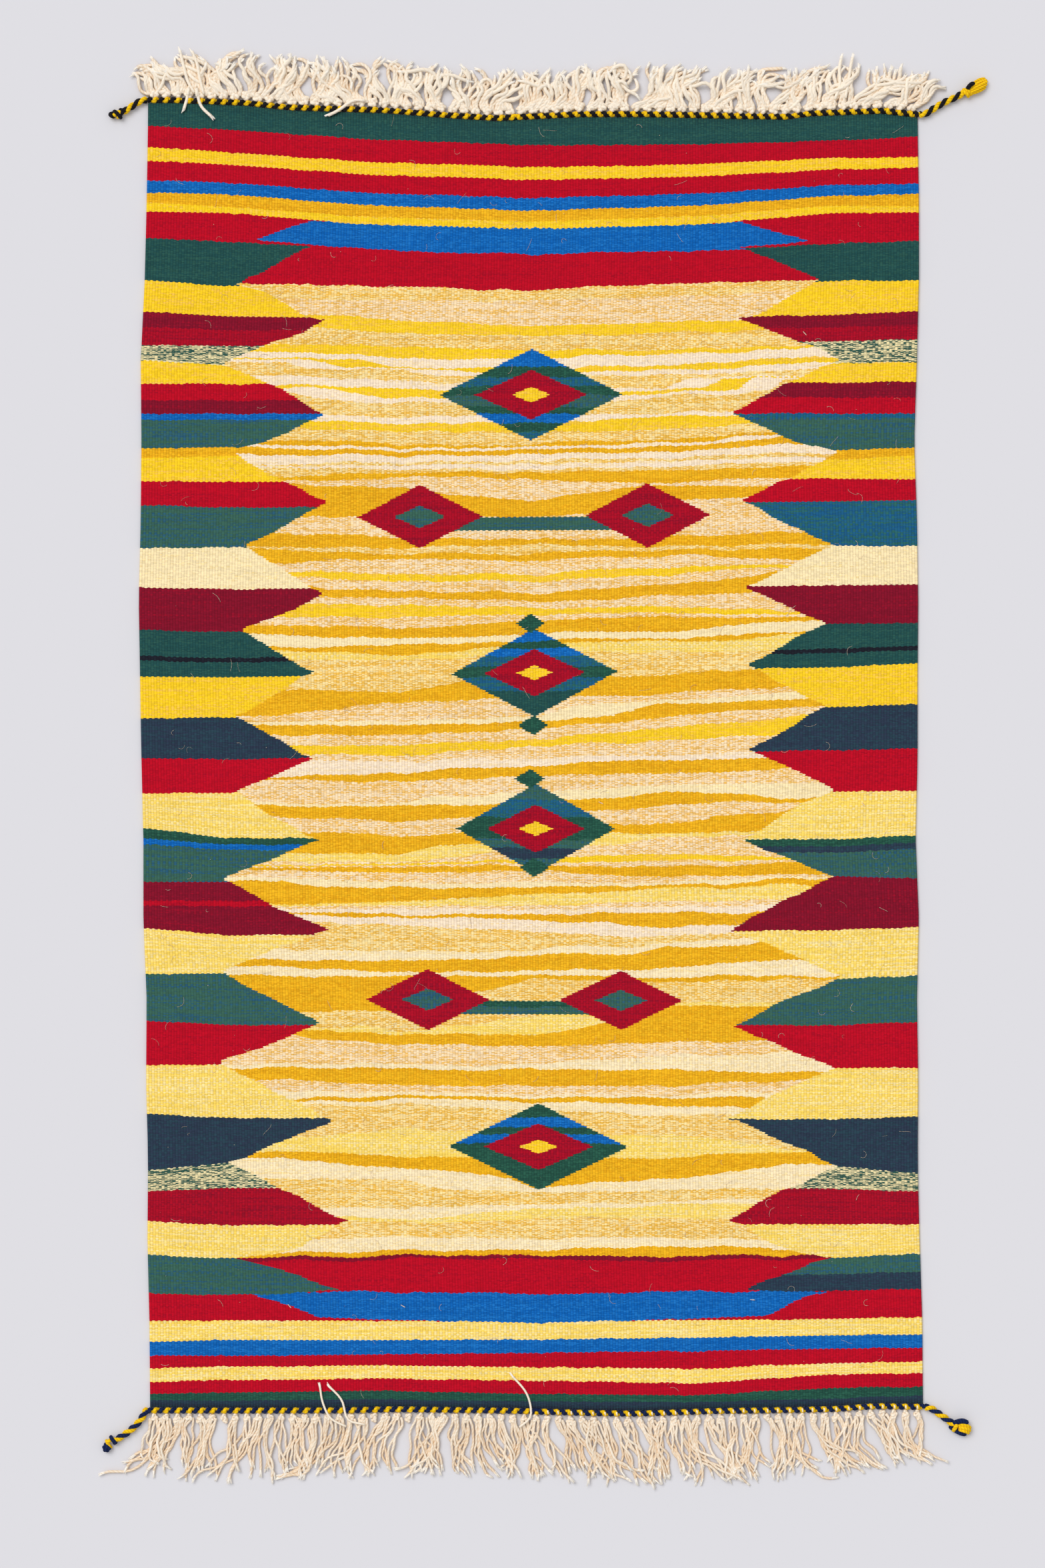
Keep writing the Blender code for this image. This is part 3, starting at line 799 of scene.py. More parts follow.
class WovenWool:
    """The weave's finish: each bead of weft takes its colour from the chart, at its own pick and rib."""

    # How much of a tweed's mix comes from its plies, its single beads, its slow drift and its streaks.
    ply_mix: float = 0.9
    bead_mix: float = 0.7
    drift_mix: float = 1.1
    run_mix: float = 2.2
    strand_edge: float = 0.12

    # Painted shade and light: how dark a bead's groove is painted, how much lighter its crown and middle are
    # painted, and how far fuzz and uneven dyeing change the tone at random.
    groove_shade: float = 0.79
    crown_shade: float = 0.24
    bead_shade: float = 0.09
    fuzz_shade: float = 0.24
    slow_shade: float = 0.12
    one_shade: float = 0.22

    # What stands out in the relief, how fine its fuzz is and how deep it looks.
    crown_relief: float = 0.7
    bead_relief: float = 0.3
    fuzz_relief: float = 0.35
    fuzz_scale: float = 2600.0
    depth: float = 0.4 * MM
    strength: float = 0.55

    def __init__(self, chart: Chart) -> None:
        """Keep the chart and start the material.

        Args:
            chart: the weave as charted.
        """
        self.chart = chart
        self.graph = Graph("woven wool", roughness=0.92)
        self.graph.shader.inputs["Sheen Weight"].default_value = 0.02
        self.graph.shader.inputs["Sheen Roughness"].default_value = 0.6

    def _beads(self) -> None:
        """Find the bead of weft under the point: alternate ribs show alternate picks."""
        g = self.graph
        rib_now, pick_now, _ = g.split(g.wire("UVMap", {"uv_map": "weave"}, {}))
        rib = rib_now.floor()
        odd = g.maths("MODULO", rib, 2.0)
        pick = ((pick_now + odd) * 0.5).floor() * 2.0 + 1.0 - odd
        self.over = rib_now - rib - 0.5
        past = pick_now - pick
        corner = abs(self.over) + abs(past) * BEAD_SLANT > 0.5 + 0.5 * BEAD_SLANT
        self.rib = rib + 0.5 + g.maths("SIGN", self.over) * corner
        self.pick = pick + g.maths("SIGN", past) * corner
        self.down = (pick_now - self.pick) * 0.5

    def _curves(self, curves: Sequence[Curve]) -> tuple[Wire, Wire, Wire]:
        """Look three charted curves up at the bead's pick, in parts so that the tables stay fine.

        Args:
            curves: the three curves.
        Returns:
            The three values.
        """
        g, length = self.graph, self.chart.total / CHART_PARTS
        result = None
        for part in range(CHART_PARTS):
            start = part * length
            cut = [self._part(curve, start, length) for curve in curves]
            place = (self.charted_pick - start) / length
            here = g.wire("VectorCurve", {"curves": cut}, {"Vector": g.vector(place, place, place)})
            if result is not None:
                sockets = {0: self.charted_pick > start, 4: result, 5: here}
                here = g.wire("Mix", {"data_type": "VECTOR"}, sockets, 1)
            result = here
        return g.split(result)

    @staticmethod
    def _part(curve: Curve, start: float, length: float) -> Curve:
        """One stretch of a curve, with its picks as shares of that stretch.

        Args:
            curve: the curve.
            start: the pick where the stretch starts.
            length: how many picks long it is.
        Returns:
            The stretch.
        """
        picks, values = [point[0] for point in curve], [point[1] for point in curve]
        inside = [point for point in curve if start < point[0] < start + length]
        ends = [(at, float(np.interp(at, picks, values))) for at in (start, start + length)]
        return [((pick - start) / length, value) for pick, value in (ends[0], *inside, ends[1])]

    def _numbers(self, index: Wire, values: Sequence[int]) -> Wire:
        """The whole number that stands at an index of a list, through ramps of single steps.

        Args:
            index: the place in the list.
            values: the list.
        Returns:
            The number.
        """
        g = self.graph
        result = None
        for start in range(0, len(values), PER_RAMP):
            entries = values[start:start + PER_RAMP]
            place = ramp_place(index - start)
            stops = []
            for step, value in enumerate(entries):
                stops.append((ramp_start(step), (*[value / len(Yarn)] * 3, 1.0)))
            here = g.ramp(stops, place)
            result = here if result is None else g.blend(index > start - 0.5, result, here)
        return g.parts(result)[0] * float(len(Yarn))

    def _side_yarn(self, band: Wire) -> Wire:
        """Find the yarn of the toothed sides and of the bands that run right across.

        Args:
            band: the band's number, in whole and parts.
        Returns:
            The yarn's number.
        """
        index = band.floor()
        left, right = (self._numbers(index, yarns) for yarns in zip(*(row.yarns for row in BANDS)))
        return self.graph.pick(self.rib > RIBS / 2, left, right)

    def _wander(self, across: float, along: float, reach: float) -> None:
        """Read the chart a little higher or lower from place to place, as wefts wander when they are beaten.

        Args:
            across: how fast that changes from rib to rib.
            along: how fast it changes from pick to pick.
            reach: twice how far it goes, in picks.
        """
        self.charted_pick = self.pick + (self._cloud(across, along, reach, 3.0) - 0.5) * reach

    def _cloud(self, across: float, along: float, layer: float, detail: float) -> Wire:
        """Soft noise from 0 to 1 over the beads.

        Args:
            across: how fast it changes from rib to rib.
            along: how fast it changes from pick to pick.
            layer: a number of its own, so that no two clouds are alike.
            detail: how many finer clouds lie in it.
        Returns:
            The noise.
        """
        place = self.graph.vector(self.rib * across, self.pick * along, layer)
        return self.graph.noise(place, 1.0, detail)

    def _chance(self, layer: float) -> Wire:
        """A number from 0 to 1 that each bead has at random."""
        return self.graph.hash(self.graph.vector(self.rib, self.pick, layer))

    def _middle_yarn(self) -> Wire:
        """Find the yarn of the streaks between the teeth.

        Returns:
            The yarn's number.
        """
        g, chart = self.graph, self.chart
        self._wander(across=0.06, along=0.017, reach=15.0)
        first, second, third = self._curves([chart.streak_curve(place) for place in (0, 1, 2)])
        fourth, fifth, self.step = self._curves([*map(chart.streak_curve, (3, 4)), chart.diamond_curve()])
        ribs = [chart.rib_at(MIDDLE_ROW, column) for column in STREAK_COLUMNS]
        level, before = first, first
        for value, low, high in zip((second, third, fourth, fifth), ribs, ribs[1:]):
            level = level + g.stretch(self.rib, low, high, 0.0, 1.0) * (value - before)
            before = value
        return self._numbers(level.floor(), [row.yarn for row in STREAKS])

    def _steps(self, shares: tuple[float, float]) -> Wire:
        """Whether the bead lies within a step of the medallion, given the step's share of the whole."""
        return self.aside / shares[0] + self.away / shares[1] < 1.0

    def _find_medallion(self) -> Wire:
        """Measure the bead's place in its medallion.

        Returns:
            1 where that is a pair, and else 0.
        """
        g, chart = self.graph, self.chart
        places, sizes, start = [], [], 0.0
        for figure in MEDALLIONS:
            middle = chart.rib_at(figure.row, figure.column) / RIBS
            pick = chart.pick_at(figure.row, figure.column) / chart.total
            ribs, picks = figure.half_width * SQUARE / self._rib_width(), figure.half_height * SQUARE / PICK
            apart = figure.apart * SQUARE / self._rib_width() / RIBS
            places.append((start, (middle, pick, apart, 1.0)))
            sizes.append((start, (ribs / SIZE_RANGE, picks / SIZE_RANGE, 0.0, 1.0)))
            start = chart.pick_at(figure.until, figure.column) / chart.total
        here = self.pick / chart.total
        middle, pick, apart = g.parts(g.ramp(places, here))
        wide, tall, _ = g.parts(g.ramp(sizes, here))
        self.off_line = abs(self.rib - middle * RIBS)
        self.offset = apart * RIBS
        self.aside = abs(self.off_line - self.offset) / (wide * SIZE_RANGE)
        self.below = self.pick - pick * chart.total
        self.away = abs(self.below) / (tall * SIZE_RANGE)
        return self.offset > 1.0

    def _yarn(self) -> Wire:
        """Find the yarn that the bead shows.

        Returns:
            The yarn's number.
        """
        g, chart = self.graph, self.chart
        self._wander(across=0.09, along=0.006, reach=5.0)
        left_edge = chart.teeth_curve(LEFT_TEETH, RIBS / 2)
        right_edge = chart.teeth_curve(RIGHT_TEETH, RIBS / 2)
        left, right, band = self._curves([left_edge, right_edge, chart.band_curve()])
        inside = (self.rib > left) * (self.rib < right)
        side = self._side_yarn(band)
        yarn = g.pick(inside, side, self._middle_yarn())
        outer = self._numbers(self.step.floor(), [colour for colour, _ in DIAMOND_YARNS])
        pair = self._find_medallion()
        whole = self._steps((1.0, 1.0))
        bar_gap = abs(self.below - BAR_DROP * SQUARE / PICK)
        bar = (bar_gap < BAR_HALF_HEIGHT * SQUARE / PICK) * (self.off_line < self.offset) * pair
        yarn = g.pick(bar, yarn, outer)
        yarn = g.pick(whole * pair, yarn, float(Yarn.WINE))
        yarn = g.pick(whole * (1.0 - pair), yarn, outer)
        yarn = g.pick(self._steps(PAIR_CORE_SHARE) * pair, yarn, float(Yarn.TEAL))
        yarn = g.pick(self._steps(INNER_SHARE) * (1.0 - pair), yarn, float(Yarn.WINE))
        yarn = g.pick(self._steps(CORE_SHARE) * (1.0 - pair), yarn, float(Yarn.YELLOW))
        wide, tall = SMALL_HALF_WIDTH * SQUARE / self._rib_width(), SMALL_HALF_HEIGHT * SQUARE / PICK
        for column, row in SMALL_DIAMONDS:
            aside = abs(self.rib - chart.rib_at(row, column)) / wide
            away = abs(self.pick - chart.pick_at(row, column)) / tall
            yarn = g.pick(aside + away < 1.0, yarn, float(Yarn.SPRUCE))
        return yarn

    def _rib_width(self) -> float:
        """How wide a rib is, in metres."""
        left, right = self.chart.sides(0.0)
        return (right - left) / RIBS

    def _palette(self, yarn: Wire) -> Wire:
        """Colour the bead from its yarn's two strands.

        Args:
            yarn: the yarn's number.
        Returns:
            The colour.
        """
        g = self.graph
        place = ramp_place(yarn)
        mains, seconds, ways = [], [], []
        for name, dye in DYES.items():
            mains.append((ramp_start(name), dye.main))
            seconds.append((ramp_start(name), dye.second))
            ways.append((ramp_start(name), (dye.share, dye.streaky, 0.0, 1.0)))
        share, streaky, _ = g.parts(g.ramp(ways, place))
        turned = g.stretch(self._cloud(0.16, 0.8, 5.0, 1.0), 0.44, 0.56, -1.0, 1.0)
        single = self._chance(3.0)
        drift = self._cloud(0.03, 0.15, 4.0, 2.0)
        fleck = 0.5 + self.down * turned * self.ply_mix
        fleck = fleck + (single - 0.5) * self.bead_mix + (drift - 0.5) * self.drift_mix
        run = (self._cloud(0.035, 0.9, 1.0, 1.0) - 0.5) * self.run_mix + 0.5
        mixed = g.pick(streaky, fleck, run)
        second = g.stretch(mixed - share, -self.strand_edge, self.strand_edge, 1.0, 0.0)
        return g.blend(second, g.ramp(mains, place), g.ramp(seconds, place))

    def make(self) -> bpy.types.Material:
        """Build the whole finish.

        Returns:
            The material.
        """
        g = self.graph
        self._beads()
        colour = self._palette(self._yarn())
        crown = g.maths("COSINE", self.over * (2 * math.pi)) * 0.5 + 0.5
        bead = g.maths("COSINE", self.down * (2 * math.pi)) * 0.5 + 0.5
        fuzz = g.noise(g.wire("TexCoord", {}, {}, "Object"), self.fuzz_scale, 3.0)
        relief = crown * self.crown_relief + bead * self.bead_relief + fuzz * self.fuzz_relief
        slow, one = self._cloud(0.02, 0.033, 7.0, 3.0), self._chance(9.0)
        # Painted shade and light: the grooves between the ribs and the gaps between the beads are painted
        # darker and the crowns lighter, over the real ribs and bump; fuzz, slow clouds and single beads vary
        # the tone at random.
        shade = self.groove_shade + crown * self.crown_shade + bead * self.bead_shade
        shade = shade + (fuzz - 0.5) * self.fuzz_shade
        shade = shade + (slow - 0.5) * self.slow_shade + (one - 0.5) * self.one_shade
        return g.finish(g.shaded(colour, shade), relief, self.depth, self.strength)


def to_mesh(name: str, bm: bmesh.types.BMesh) -> bpy.types.Mesh:
    """Turn a bmesh into a mesh.

    Args:
        name: the mesh's name.
        bm: the bmesh, which is used up.
    Returns:
        The mesh.
    """
    mesh = bpy.data.meshes.new(name)
    bm.to_mesh(mesh)
    bm.free()
    return mesh


def add_object(name: str, data: bpy.types.ID) -> bpy.types.Object:
    """Put a mesh, a light or a camera in the scene.

    Args:
        name: the object's name.
        data: what it shows.
    Returns:
        The object.
    """
    made = bpy.data.objects.new(name, data)
    bpy.context.scene.collection.objects.link(made)
    return made


def link(name: str, mesh: bpy.types.Mesh, materials: Iterable[bpy.types.Material]) -> bpy.types.Object:
    """Put a finished mesh in the scene as a piece that rides on the rug's one body.

    Args:
        name: the piece's name.
        mesh: its mesh.
        materials: its finishes, in the order of its faces' numbers.
    Returns:
        The piece.
    """
    piece = add_object(name, mesh)
    for material in materials:
        piece.data.materials.append(material)
    piece.data.shade_smooth()
    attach(piece, "root")
    LOG.info("%s: %d faces", name, len(mesh.polygons))
    return piece


# The waves the cloth lies in, in radians for each metre: long ones both ways, and lower slanting ones.
WAVE_ACROSS, WAVE_ALONG = 11.0, 9.0
START_ACROSS, START_ALONG = 1.3, 0.4
SLANT_ACROSS, SLANT_ALONG = 23.0, 17.0
SLANT_SHARE = 0.6


def lift(across: float, along: float) -> float:
    """How far the cloth rises at a place, where it lies a little unevenly.

    Args:
        across: the place across the rug, in metres.
        along: the place up the rug, in metres.
    Returns:
        The rise, in metres.
    """
    wave = math.sin(across * WAVE_ACROSS + START_ACROSS) * math.sin(along * WAVE_ALONG + START_ALONG)
    wave += SLANT_SHARE * math.sin(across * SLANT_ACROSS - along * SLANT_ALONG)
    return RIPPLE * max(0.0, wave)


@dataclass
class Weave:
    """The flat-woven field, with a real rib over every warp on both of its faces."""

    chart: Chart
    columns_per_rib: int = 2
    usual_width: float = 0.7
    rim_share: float = 0.66
    rows: list[float] = field(default_factory=list)

    def _choose_rows(self) -> list[float]:
        """The picks at which the mesh has a row: every band's edge, and more where a band is tall.

        Returns:
            The picks, from the head.
        """
        rows = [0.0]
        for low, high in zip(self.chart.picks, self.chart.picks[1:]):
            parts = max(1, math.ceil((high - low) * PICK / TALLEST_MESH_ROW))
            rows += [low + (high - low) * part / parts for part in range(1, parts + 1)]
        return rows

    def build(self) -> bpy.types.Object:
        """Weave both faces and close them round the edge.

        Returns:
            The piece, unfinished.
        """
        self.rows = self._choose_rows()
        columns = RIBS * self.columns_per_rib
        bm = bmesh.new()
        bmesh.ops.create_grid(bm, x_segments=columns, y_segments=len(self.rows) - 1, size=0.5)
        counts = bm.verts.layers.float_vector.new("counts")
        for vertex in bm.verts:
            column = round((vertex.co.x + 0.5) * columns)
            row = round((0.5 - vertex.co.y) * (len(self.rows) - 1))
            rib, pick = column / self.columns_per_rib, self.rows[row]
            vertex[counts] = (rib, pick, 0.0)
            vertex.co = self._place(rib, pick, column, columns)
        under = bmesh.ops.duplicate(bm, geom=bm.verts[:] + bm.edges[:] + bm.faces[:])["geom"]
        for vertex in (item for item in under if isinstance(item, bmesh.types.BMVert)):
            vertex.co.z = THICKNESS - (vertex.co.z - lift(vertex.co.x, vertex.co.y))
        bmesh.ops.reverse_faces(bm, faces=[item for item in under if isinstance(item, bmesh.types.BMFace)])
        rim = [edge for edge in bm.edges if edge.is_boundary]
        bmesh.ops.bridge_loops(bm, edges=rim)
        return self._to_piece(bm)

    def _place(self, rib: float, pick: float, column: int, columns: int) -> Vector:
        """Where a point of the upper face lies.

        Args:
            rib: its rib, in whole and parts.
            pick: its pick.
            column: its column in the mesh.
            columns: how many columns there are.
        Returns:
            The point.
        """
        share = rib / RIBS
        along = self.chart.height(pick, (share - 0.5) * self.usual_width)
        for _ in range(2):
            left, right = self.chart.sides(along)
            across = left + (right - left) * share
            along = self.chart.height(pick, across)
        crest = column % self.columns_per_rib
        height = THICKNESS if crest else THICKNESS - RIB_DEPTH
        if column in (0, columns):
            height = THICKNESS * self.rim_share
        return Vector((across, along, height + lift(across, along)))

    def _to_piece(self, bm: bmesh.types.BMesh) -> bpy.types.Object:
        """Turn the bmesh into a piece, with its rib and pick counts as a UV map.

        Args:
            bm: the closed cloth.
        Returns:
            The piece.
        """
        bmesh.ops.recalc_face_normals(bm, faces=bm.faces)
        mesh = to_mesh("woven_wool_field", bm)
        values = np.zeros(len(mesh.vertices) * 3, dtype=np.float32)
        mesh.attributes["counts"].data.foreach_get("vector", values)
        corners = np.zeros(len(mesh.loops), dtype=np.int32)
        mesh.loops.foreach_get("vertex_index", corners)
        layer = mesh.uv_layers.new(name="weave")
        layer.data.foreach_set("uv", values.reshape(-1, 3)[corners, :2].ravel())
        mesh.attributes.remove(mesh.attributes["counts"])
        piece = link("woven_wool_field", mesh, [WovenWool(self.chart).make()])
        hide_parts("woven_field")
        return piece


@dataclass
class Thread:
    """One thread of a bundle: its points, its thickness there, its tone, its dye and how flat it is."""

    path: Sequence[Vector]
    thickness: float | Sequence[float]
    tone: float = 0.5
    dye: int = 0
    flatness: float = 1.0


# How blunt a thread's ends are, as shares of its thickness and of the way from ring to ring.
BLUNT_THICKNESS = 0.3
BLUNT_RING = 0.2

# A thread that stands nearly upright keeps its sides from the ring before.
UPRIGHT = 0.2
TINY = 1e-12


class Bundle:
    """Threads that are all bent from one template tube, whose two ends are drawn to a point."""

    def __init__(self, sides: int, stations: int) -> None:
        """Choose the template.

        Args:
            sides: how many faces go round a thread.
            stations: how many rings it has.
        """
        self.sides = sides
        self.stations = stations
        self.threads: list[Thread] = []

    def add(self, path: Sequence[Vector], thickness: float | Sequence[float], **looks: float) -> None:
        """Add a thread, with its way, its thickness and any of its other fields."""
        self.threads.append(Thread(path, thickness, **looks))

    def _template(self) -> bpy.types.Mesh:
        """A flat grid, one column for each side, which is rolled up when it is bent.

        Returns:
            The grid.
        """
        bm = bmesh.new()
        bm.loops.layers.uv.new("thread")
        rows = self.stations - 1
        bmesh.ops.create_grid(bm, x_segments=self.sides, y_segments=rows, size=0.5, calc_uvs=True)
        return to_mesh("template", bm)

    def _bend(self, thread: Thread, sides: np.ndarray, rings: np.ndarray) -> tuple[np.ndarray, np.ndarray]:
        """Bend the template round one thread.

        Args:
            thread: the thread.
            sides: which of its sides each point of the template is on.
            rings: which of its rings each point is in.
        Returns:
            Where its points lie, and how far along it each is.
        """
        points = np.array([tuple(point) for point in thread.path])
        walked = np.concatenate([[0.0], np.cumsum(np.linalg.norm(np.diff(points, axis=0), axis=1))])
        thick = np.broadcast_to(np.asarray(thread.thickness, dtype=float), (len(points),))
        cap = min(BLUNT_THICKNESS * thick[0], BLUNT_RING * walked[-1] / self.stations)
        inner = np.linspace(cap, walked[-1] - cap, self.stations - 2)
        along = np.concatenate([[0.0], inner, [walked[-1]]])
        middle = np.stack([np.interp(along, walked, points[:, axis]) for axis in range(3)], axis=1)
        radius = np.interp(along, walked, thick) / 2
        radius[0] = radius[-1] = 0.0
        ahead = np.gradient(middle, axis=0)
        ahead /= np.linalg.norm(ahead, axis=1, keepdims=True) + TINY
        side = np.cross(ahead, [0.0, 0.0, 1.0])
        side[np.linalg.norm(side, axis=1) < UPRIGHT] = np.nan
        for index in range(self.stations):
            if np.isnan(side[index, 0]):
                before = index and not np.isnan(side[index - 1, 0])
                side[index] = side[index - 1] if before else (1.0, 0.0, 0.0)
            side[index] -= ahead[index] * np.dot(side[index], ahead[index])
            side[index] /= np.linalg.norm(side[index]) + TINY
            if index and np.dot(side[index], side[index - 1]) < 0:
                side[index] = -side[index]
        up = np.cross(side, ahead)
        angle = sides / self.sides * 2 * math.pi
        out = np.cos(angle)[:, None] * side[rings] + thread.flatness * np.sin(angle)[:, None] * up[rings]
        return middle[rings] + radius[rings][:, None] * out, along[rings]

    def build(self) -> bpy.types.Mesh:
        """Bend and close every thread.

        Returns:
            One mesh, with its UV map, and an attribute that holds the place along the thread and its tone.
        """
        template = self._template()
        count = len(template.vertices)
        flat = np.zeros(count * 3, dtype=np.float32)
        template.vertices.foreach_get("co", flat)
        flat = flat.reshape(-1, 3)
        sides = np.rint((flat[:, 0] + 0.5) * self.sides) % self.sides
        rings = np.rint((flat[:, 1] + 0.5) * (self.stations - 1)).astype(int)
        bm = bmesh.new()
        for _ in self.threads:
            bm.from_mesh(template)
        mesh = to_mesh("bundle", bm)
        places, notes = [], []
        for thread in self.threads:
            place, along = self._bend(thread, sides, rings)
            places.append(place)
            notes.append(np.stack([along, np.full(count, thread.tone), np.zeros(count)], axis=1))
        mesh.vertices.foreach_set("co", np.concatenate(places).astype(np.float32).ravel())
        layer = mesh.attributes.new("run", "FLOAT_VECTOR", "POINT")
        layer.data.foreach_set("vector", np.concatenate(notes).astype(np.float32).ravel())
        dyes = np.repeat([thread.dye for thread in self.threads], len(template.polygons))
        mesh.polygons.foreach_set("material_index", dyes.astype(np.int32))
        bpy.data.meshes.remove(template)
        return mesh


def join(name: str, meshes: Iterable[bpy.types.Mesh]) -> bpy.types.Mesh:
    """Join meshes into one, with their seams and tips closed and their faces turned outwards.

    Args:
        name: the joined mesh's name.
        meshes: the meshes, which are used up.
    Returns:
        The joined mesh.
    """
    bm = bmesh.new()
    for mesh in meshes:
        bm.from_mesh(mesh)
        bpy.data.meshes.remove(mesh)
    bmesh.ops.remove_doubles(bm, verts=bm.verts, dist=MERGE_DISTANCE)
    bmesh.ops.recalc_face_normals(bm, faces=bm.faces)
    return to_mesh(name, bm)


# The height above the floor up to which a fringe's threads are painted with shade, more the nearer they lie
# to the floor.
FLOOR_SHADE_HEIGHT = 5.5 * MM


@dataclass(frozen=True)
class SpunYarn:
    """The finish of a plied yarn: its plies wind round it, and fine fibres lie along them.

    Light is the yarn's lit colour and shadow its colour in painted shade. Groove is how far the hollows
    between the plies are painted in the shadow's colour, and low how far a thread that lies near the floor,
    under the others, is painted in it.
    """

    name: str
    light: Colour
    shadow: Colour
    plies: int = 2
    turn: float = 6.0 * MM
    depth: float = 0.35 * MM
    fuzz: float = 0.12
    ply_groove_shade: float = 0.12
    groove: float = 1.0
    low: float = 0.0
    fibre_scale: float = 1500.0
    cloud_scale: float = 160.0
    tone_shade: float = 0.14
    fibre_relief: float = 0.35
    strength: float = 0.8

    def make(self) -> bpy.types.Material:
        """Build the finish on the thread's own UV map and attribute.

        Returns:
            The material.
        """
        g = Graph(self.name, roughness=0.9)
        g.shader.inputs["Sheen Weight"].default_value = 0.03
        around, _, _ = g.split(g.wire("UVMap", {"uv_map": "thread"}, {}))
        along, tone, _ = g.split(g.wire("Attribute", {"attribute_name": "run"}, {}, "Vector"))
        phase = (around + along / self.turn) * (math.pi * self.plies)
        ply = abs(g.maths("SINE", phase))
        place = g.wire("TexCoord", {}, {}, "Object")
        fibre = g.noise(place, self.fibre_scale, 3.0)
        wide = g.noise(place, self.cloud_scale, 2.0)
        _, _, height = g.split(place)
        # Painted shade: the hollows between the plies, and threads that lie near the floor under the others,
        # take the shadow's colour; a soft cloud varies it.
        under = g.stretch(height, 0.0, FLOOR_SHADE_HEIGHT, self.low, 0.0)
        painted_shadow = (1.0 - ply) * self.groove + (wide - 0.5) * 0.5 + under
        share = g.stretch(painted_shadow, 0.25, 1.3, 0.0, 1.0)
        colour = g.blend(share, self.light, self.shadow)
        # Painted shade: the hollows between the plies are darkened as well; fibres and each thread's tone
        # vary it at random.
        shade = 1.0 - self.ply_groove_shade * (1.0 - ply) + (fibre - 0.5) * self.fuzz + (tone - 0.6) * self.tone_shade
        return g.finish(g.shaded(colour, shade), ply + fibre * self.fibre_relief, self.depth, self.strength)


# Each yarn gives its lit colour, then the colour of the painted shade that its hollows take.
YELLOW_YARN = SpunYarn("yellow wool yarn", srgb(255, 208, 20), srgb(232, 166, 14), turn=5.0 * MM)
BLACK_YARN = SpunYarn("black wool yarn", srgb(30, 28, 34), srgb(10, 10, 14), turn=4.2 * MM)
NAVY_YARN = SpunYarn("navy wool yarn", srgb(24, 40, 84), srgb(12, 18, 42), turn=4.2 * MM)
# Painted shade: the cotton also takes the shadow's colour where it lies low, near the floor.
COTTON = SpunYarn("plied cotton", srgb(252, 239, 220), srgb(229, 184, 128), turn=8.0 * MM, depth=0.09 * MM,
                  ply_groove_shade=0.05, groove=0.35, low=1.0)
FRAYED = SpunYarn("frayed cotton", srgb(254, 247, 236), srgb(252, 240, 222), depth=0.03 * MM, fuzz=0.05,
                  ply_groove_shade=0.02, groove=0.2)
LINT_FIBRE = SpunYarn("loose fibre", srgb(255, 236, 214), srgb(250, 214, 190))


class Ply(IntEnum):
    """The two yarns of a twining or a tail."""

    YELLOW = 0
    DARK = 1


class Cotton(IntEnum):
    """The two looks of a fringe's cotton."""

    PLIED = 0
    FRAYED = 1


@dataclass
class Twining:
    """The row at one end, where a yellow yarn and a dark one turn about each other between the warps."""

    end: str
    line: Sequence[Sag]
    reversal: float
    dark: SpunYarn
    knots: int = 67
    steps_per_turn: int = 14
    yarn: float = 3.3 * MM
    offset: float = 1.3 * MM
    swell: float = 0.16

    def build(self) -> bpy.types.Object:
        """Turn both yarns along the line, with the twist's hand changing at the reversal.

        Returns:
            The piece.
        """
        first, last = self.line[0].across * MM, self.line[-1].across * MM
        steps = self.knots * self.steps_per_turn
        pitch = (last - first) / self.knots
        bundle = Bundle(sides=8, stations=steps + 3)
        for dye, start in ((Ply.YELLOW, 0.0), (Ply.DARK, math.pi)):
            path, thickness, angle = [], [], start
            for step in range(steps + 1):
                across = first + (last - first) * step / steps
                hand = math.copysign(1.0, across - self.reversal)
                drag = pitch / (2 * math.pi) * hand * math.cos(angle)
                along = line_height(self.line, across)
                height = TWINE_WIDTH / 2 + self.offset * math.sin(angle)
                path.append(Vector((across + drag, along + self.offset * math.cos(angle), height)))
                thickness.append(self.yarn * (1.0 + self.swell * math.sin(angle)))
                angle += hand * 2 * math.pi / self.steps_per_turn
            bundle.add(path, thickness, dye=dye)
        mesh = join(f"twined_yarns_{self.end}", [bundle.build()])
        piece = link(mesh.name, mesh, [YELLOW_YARN.make(), self.dark.make()])
        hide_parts(f"twined_edge_{self.end}")
        f"{self.end}_twine"
        return piece


@dataclass(frozen=True)
class Lie:
    """How the strands lie at a place along one end: their lean, and their reach in millimetres."""

    where: float
    lean: float
    reach: float


HEAD_LIES = tuple(
    Lie(*row)
    for row in (
        (0, -2.0, 18), (0.03, -1.2, 26), (0.07, -0.5, 34), (0.12, 0.0, 38), (0.28, -0.15, 37),
        (0.40, 0.05, 36), (0.52, 0.30, 32), (0.60, 0.55, 36), (0.72, 0.50, 35), (0.86, 0.70, 36),
        (0.94, 1.10, 32), (1, 1.80, 22),
    )
)
FOOT_LIES = tuple(
    Lie(*row)
    for row in (
        (0, -0.50, 46), (0.10, -0.30, 56), (0.22, -0.15, 52), (0.30, 0.05, 50), (0.45, -0.05, 52),
        (0.60, 0.20, 56), (0.75, 0.25, 54), (0.88, 0.38, 52), (1, 0.50, 40),
    )
)


@dataclass(frozen=True)
class Stray:
    """A strand that lies apart: its way in chart squares, and whether that is over the weave."""

    way: tuple[tuple[int, int], ...]
    over_weave: bool = False


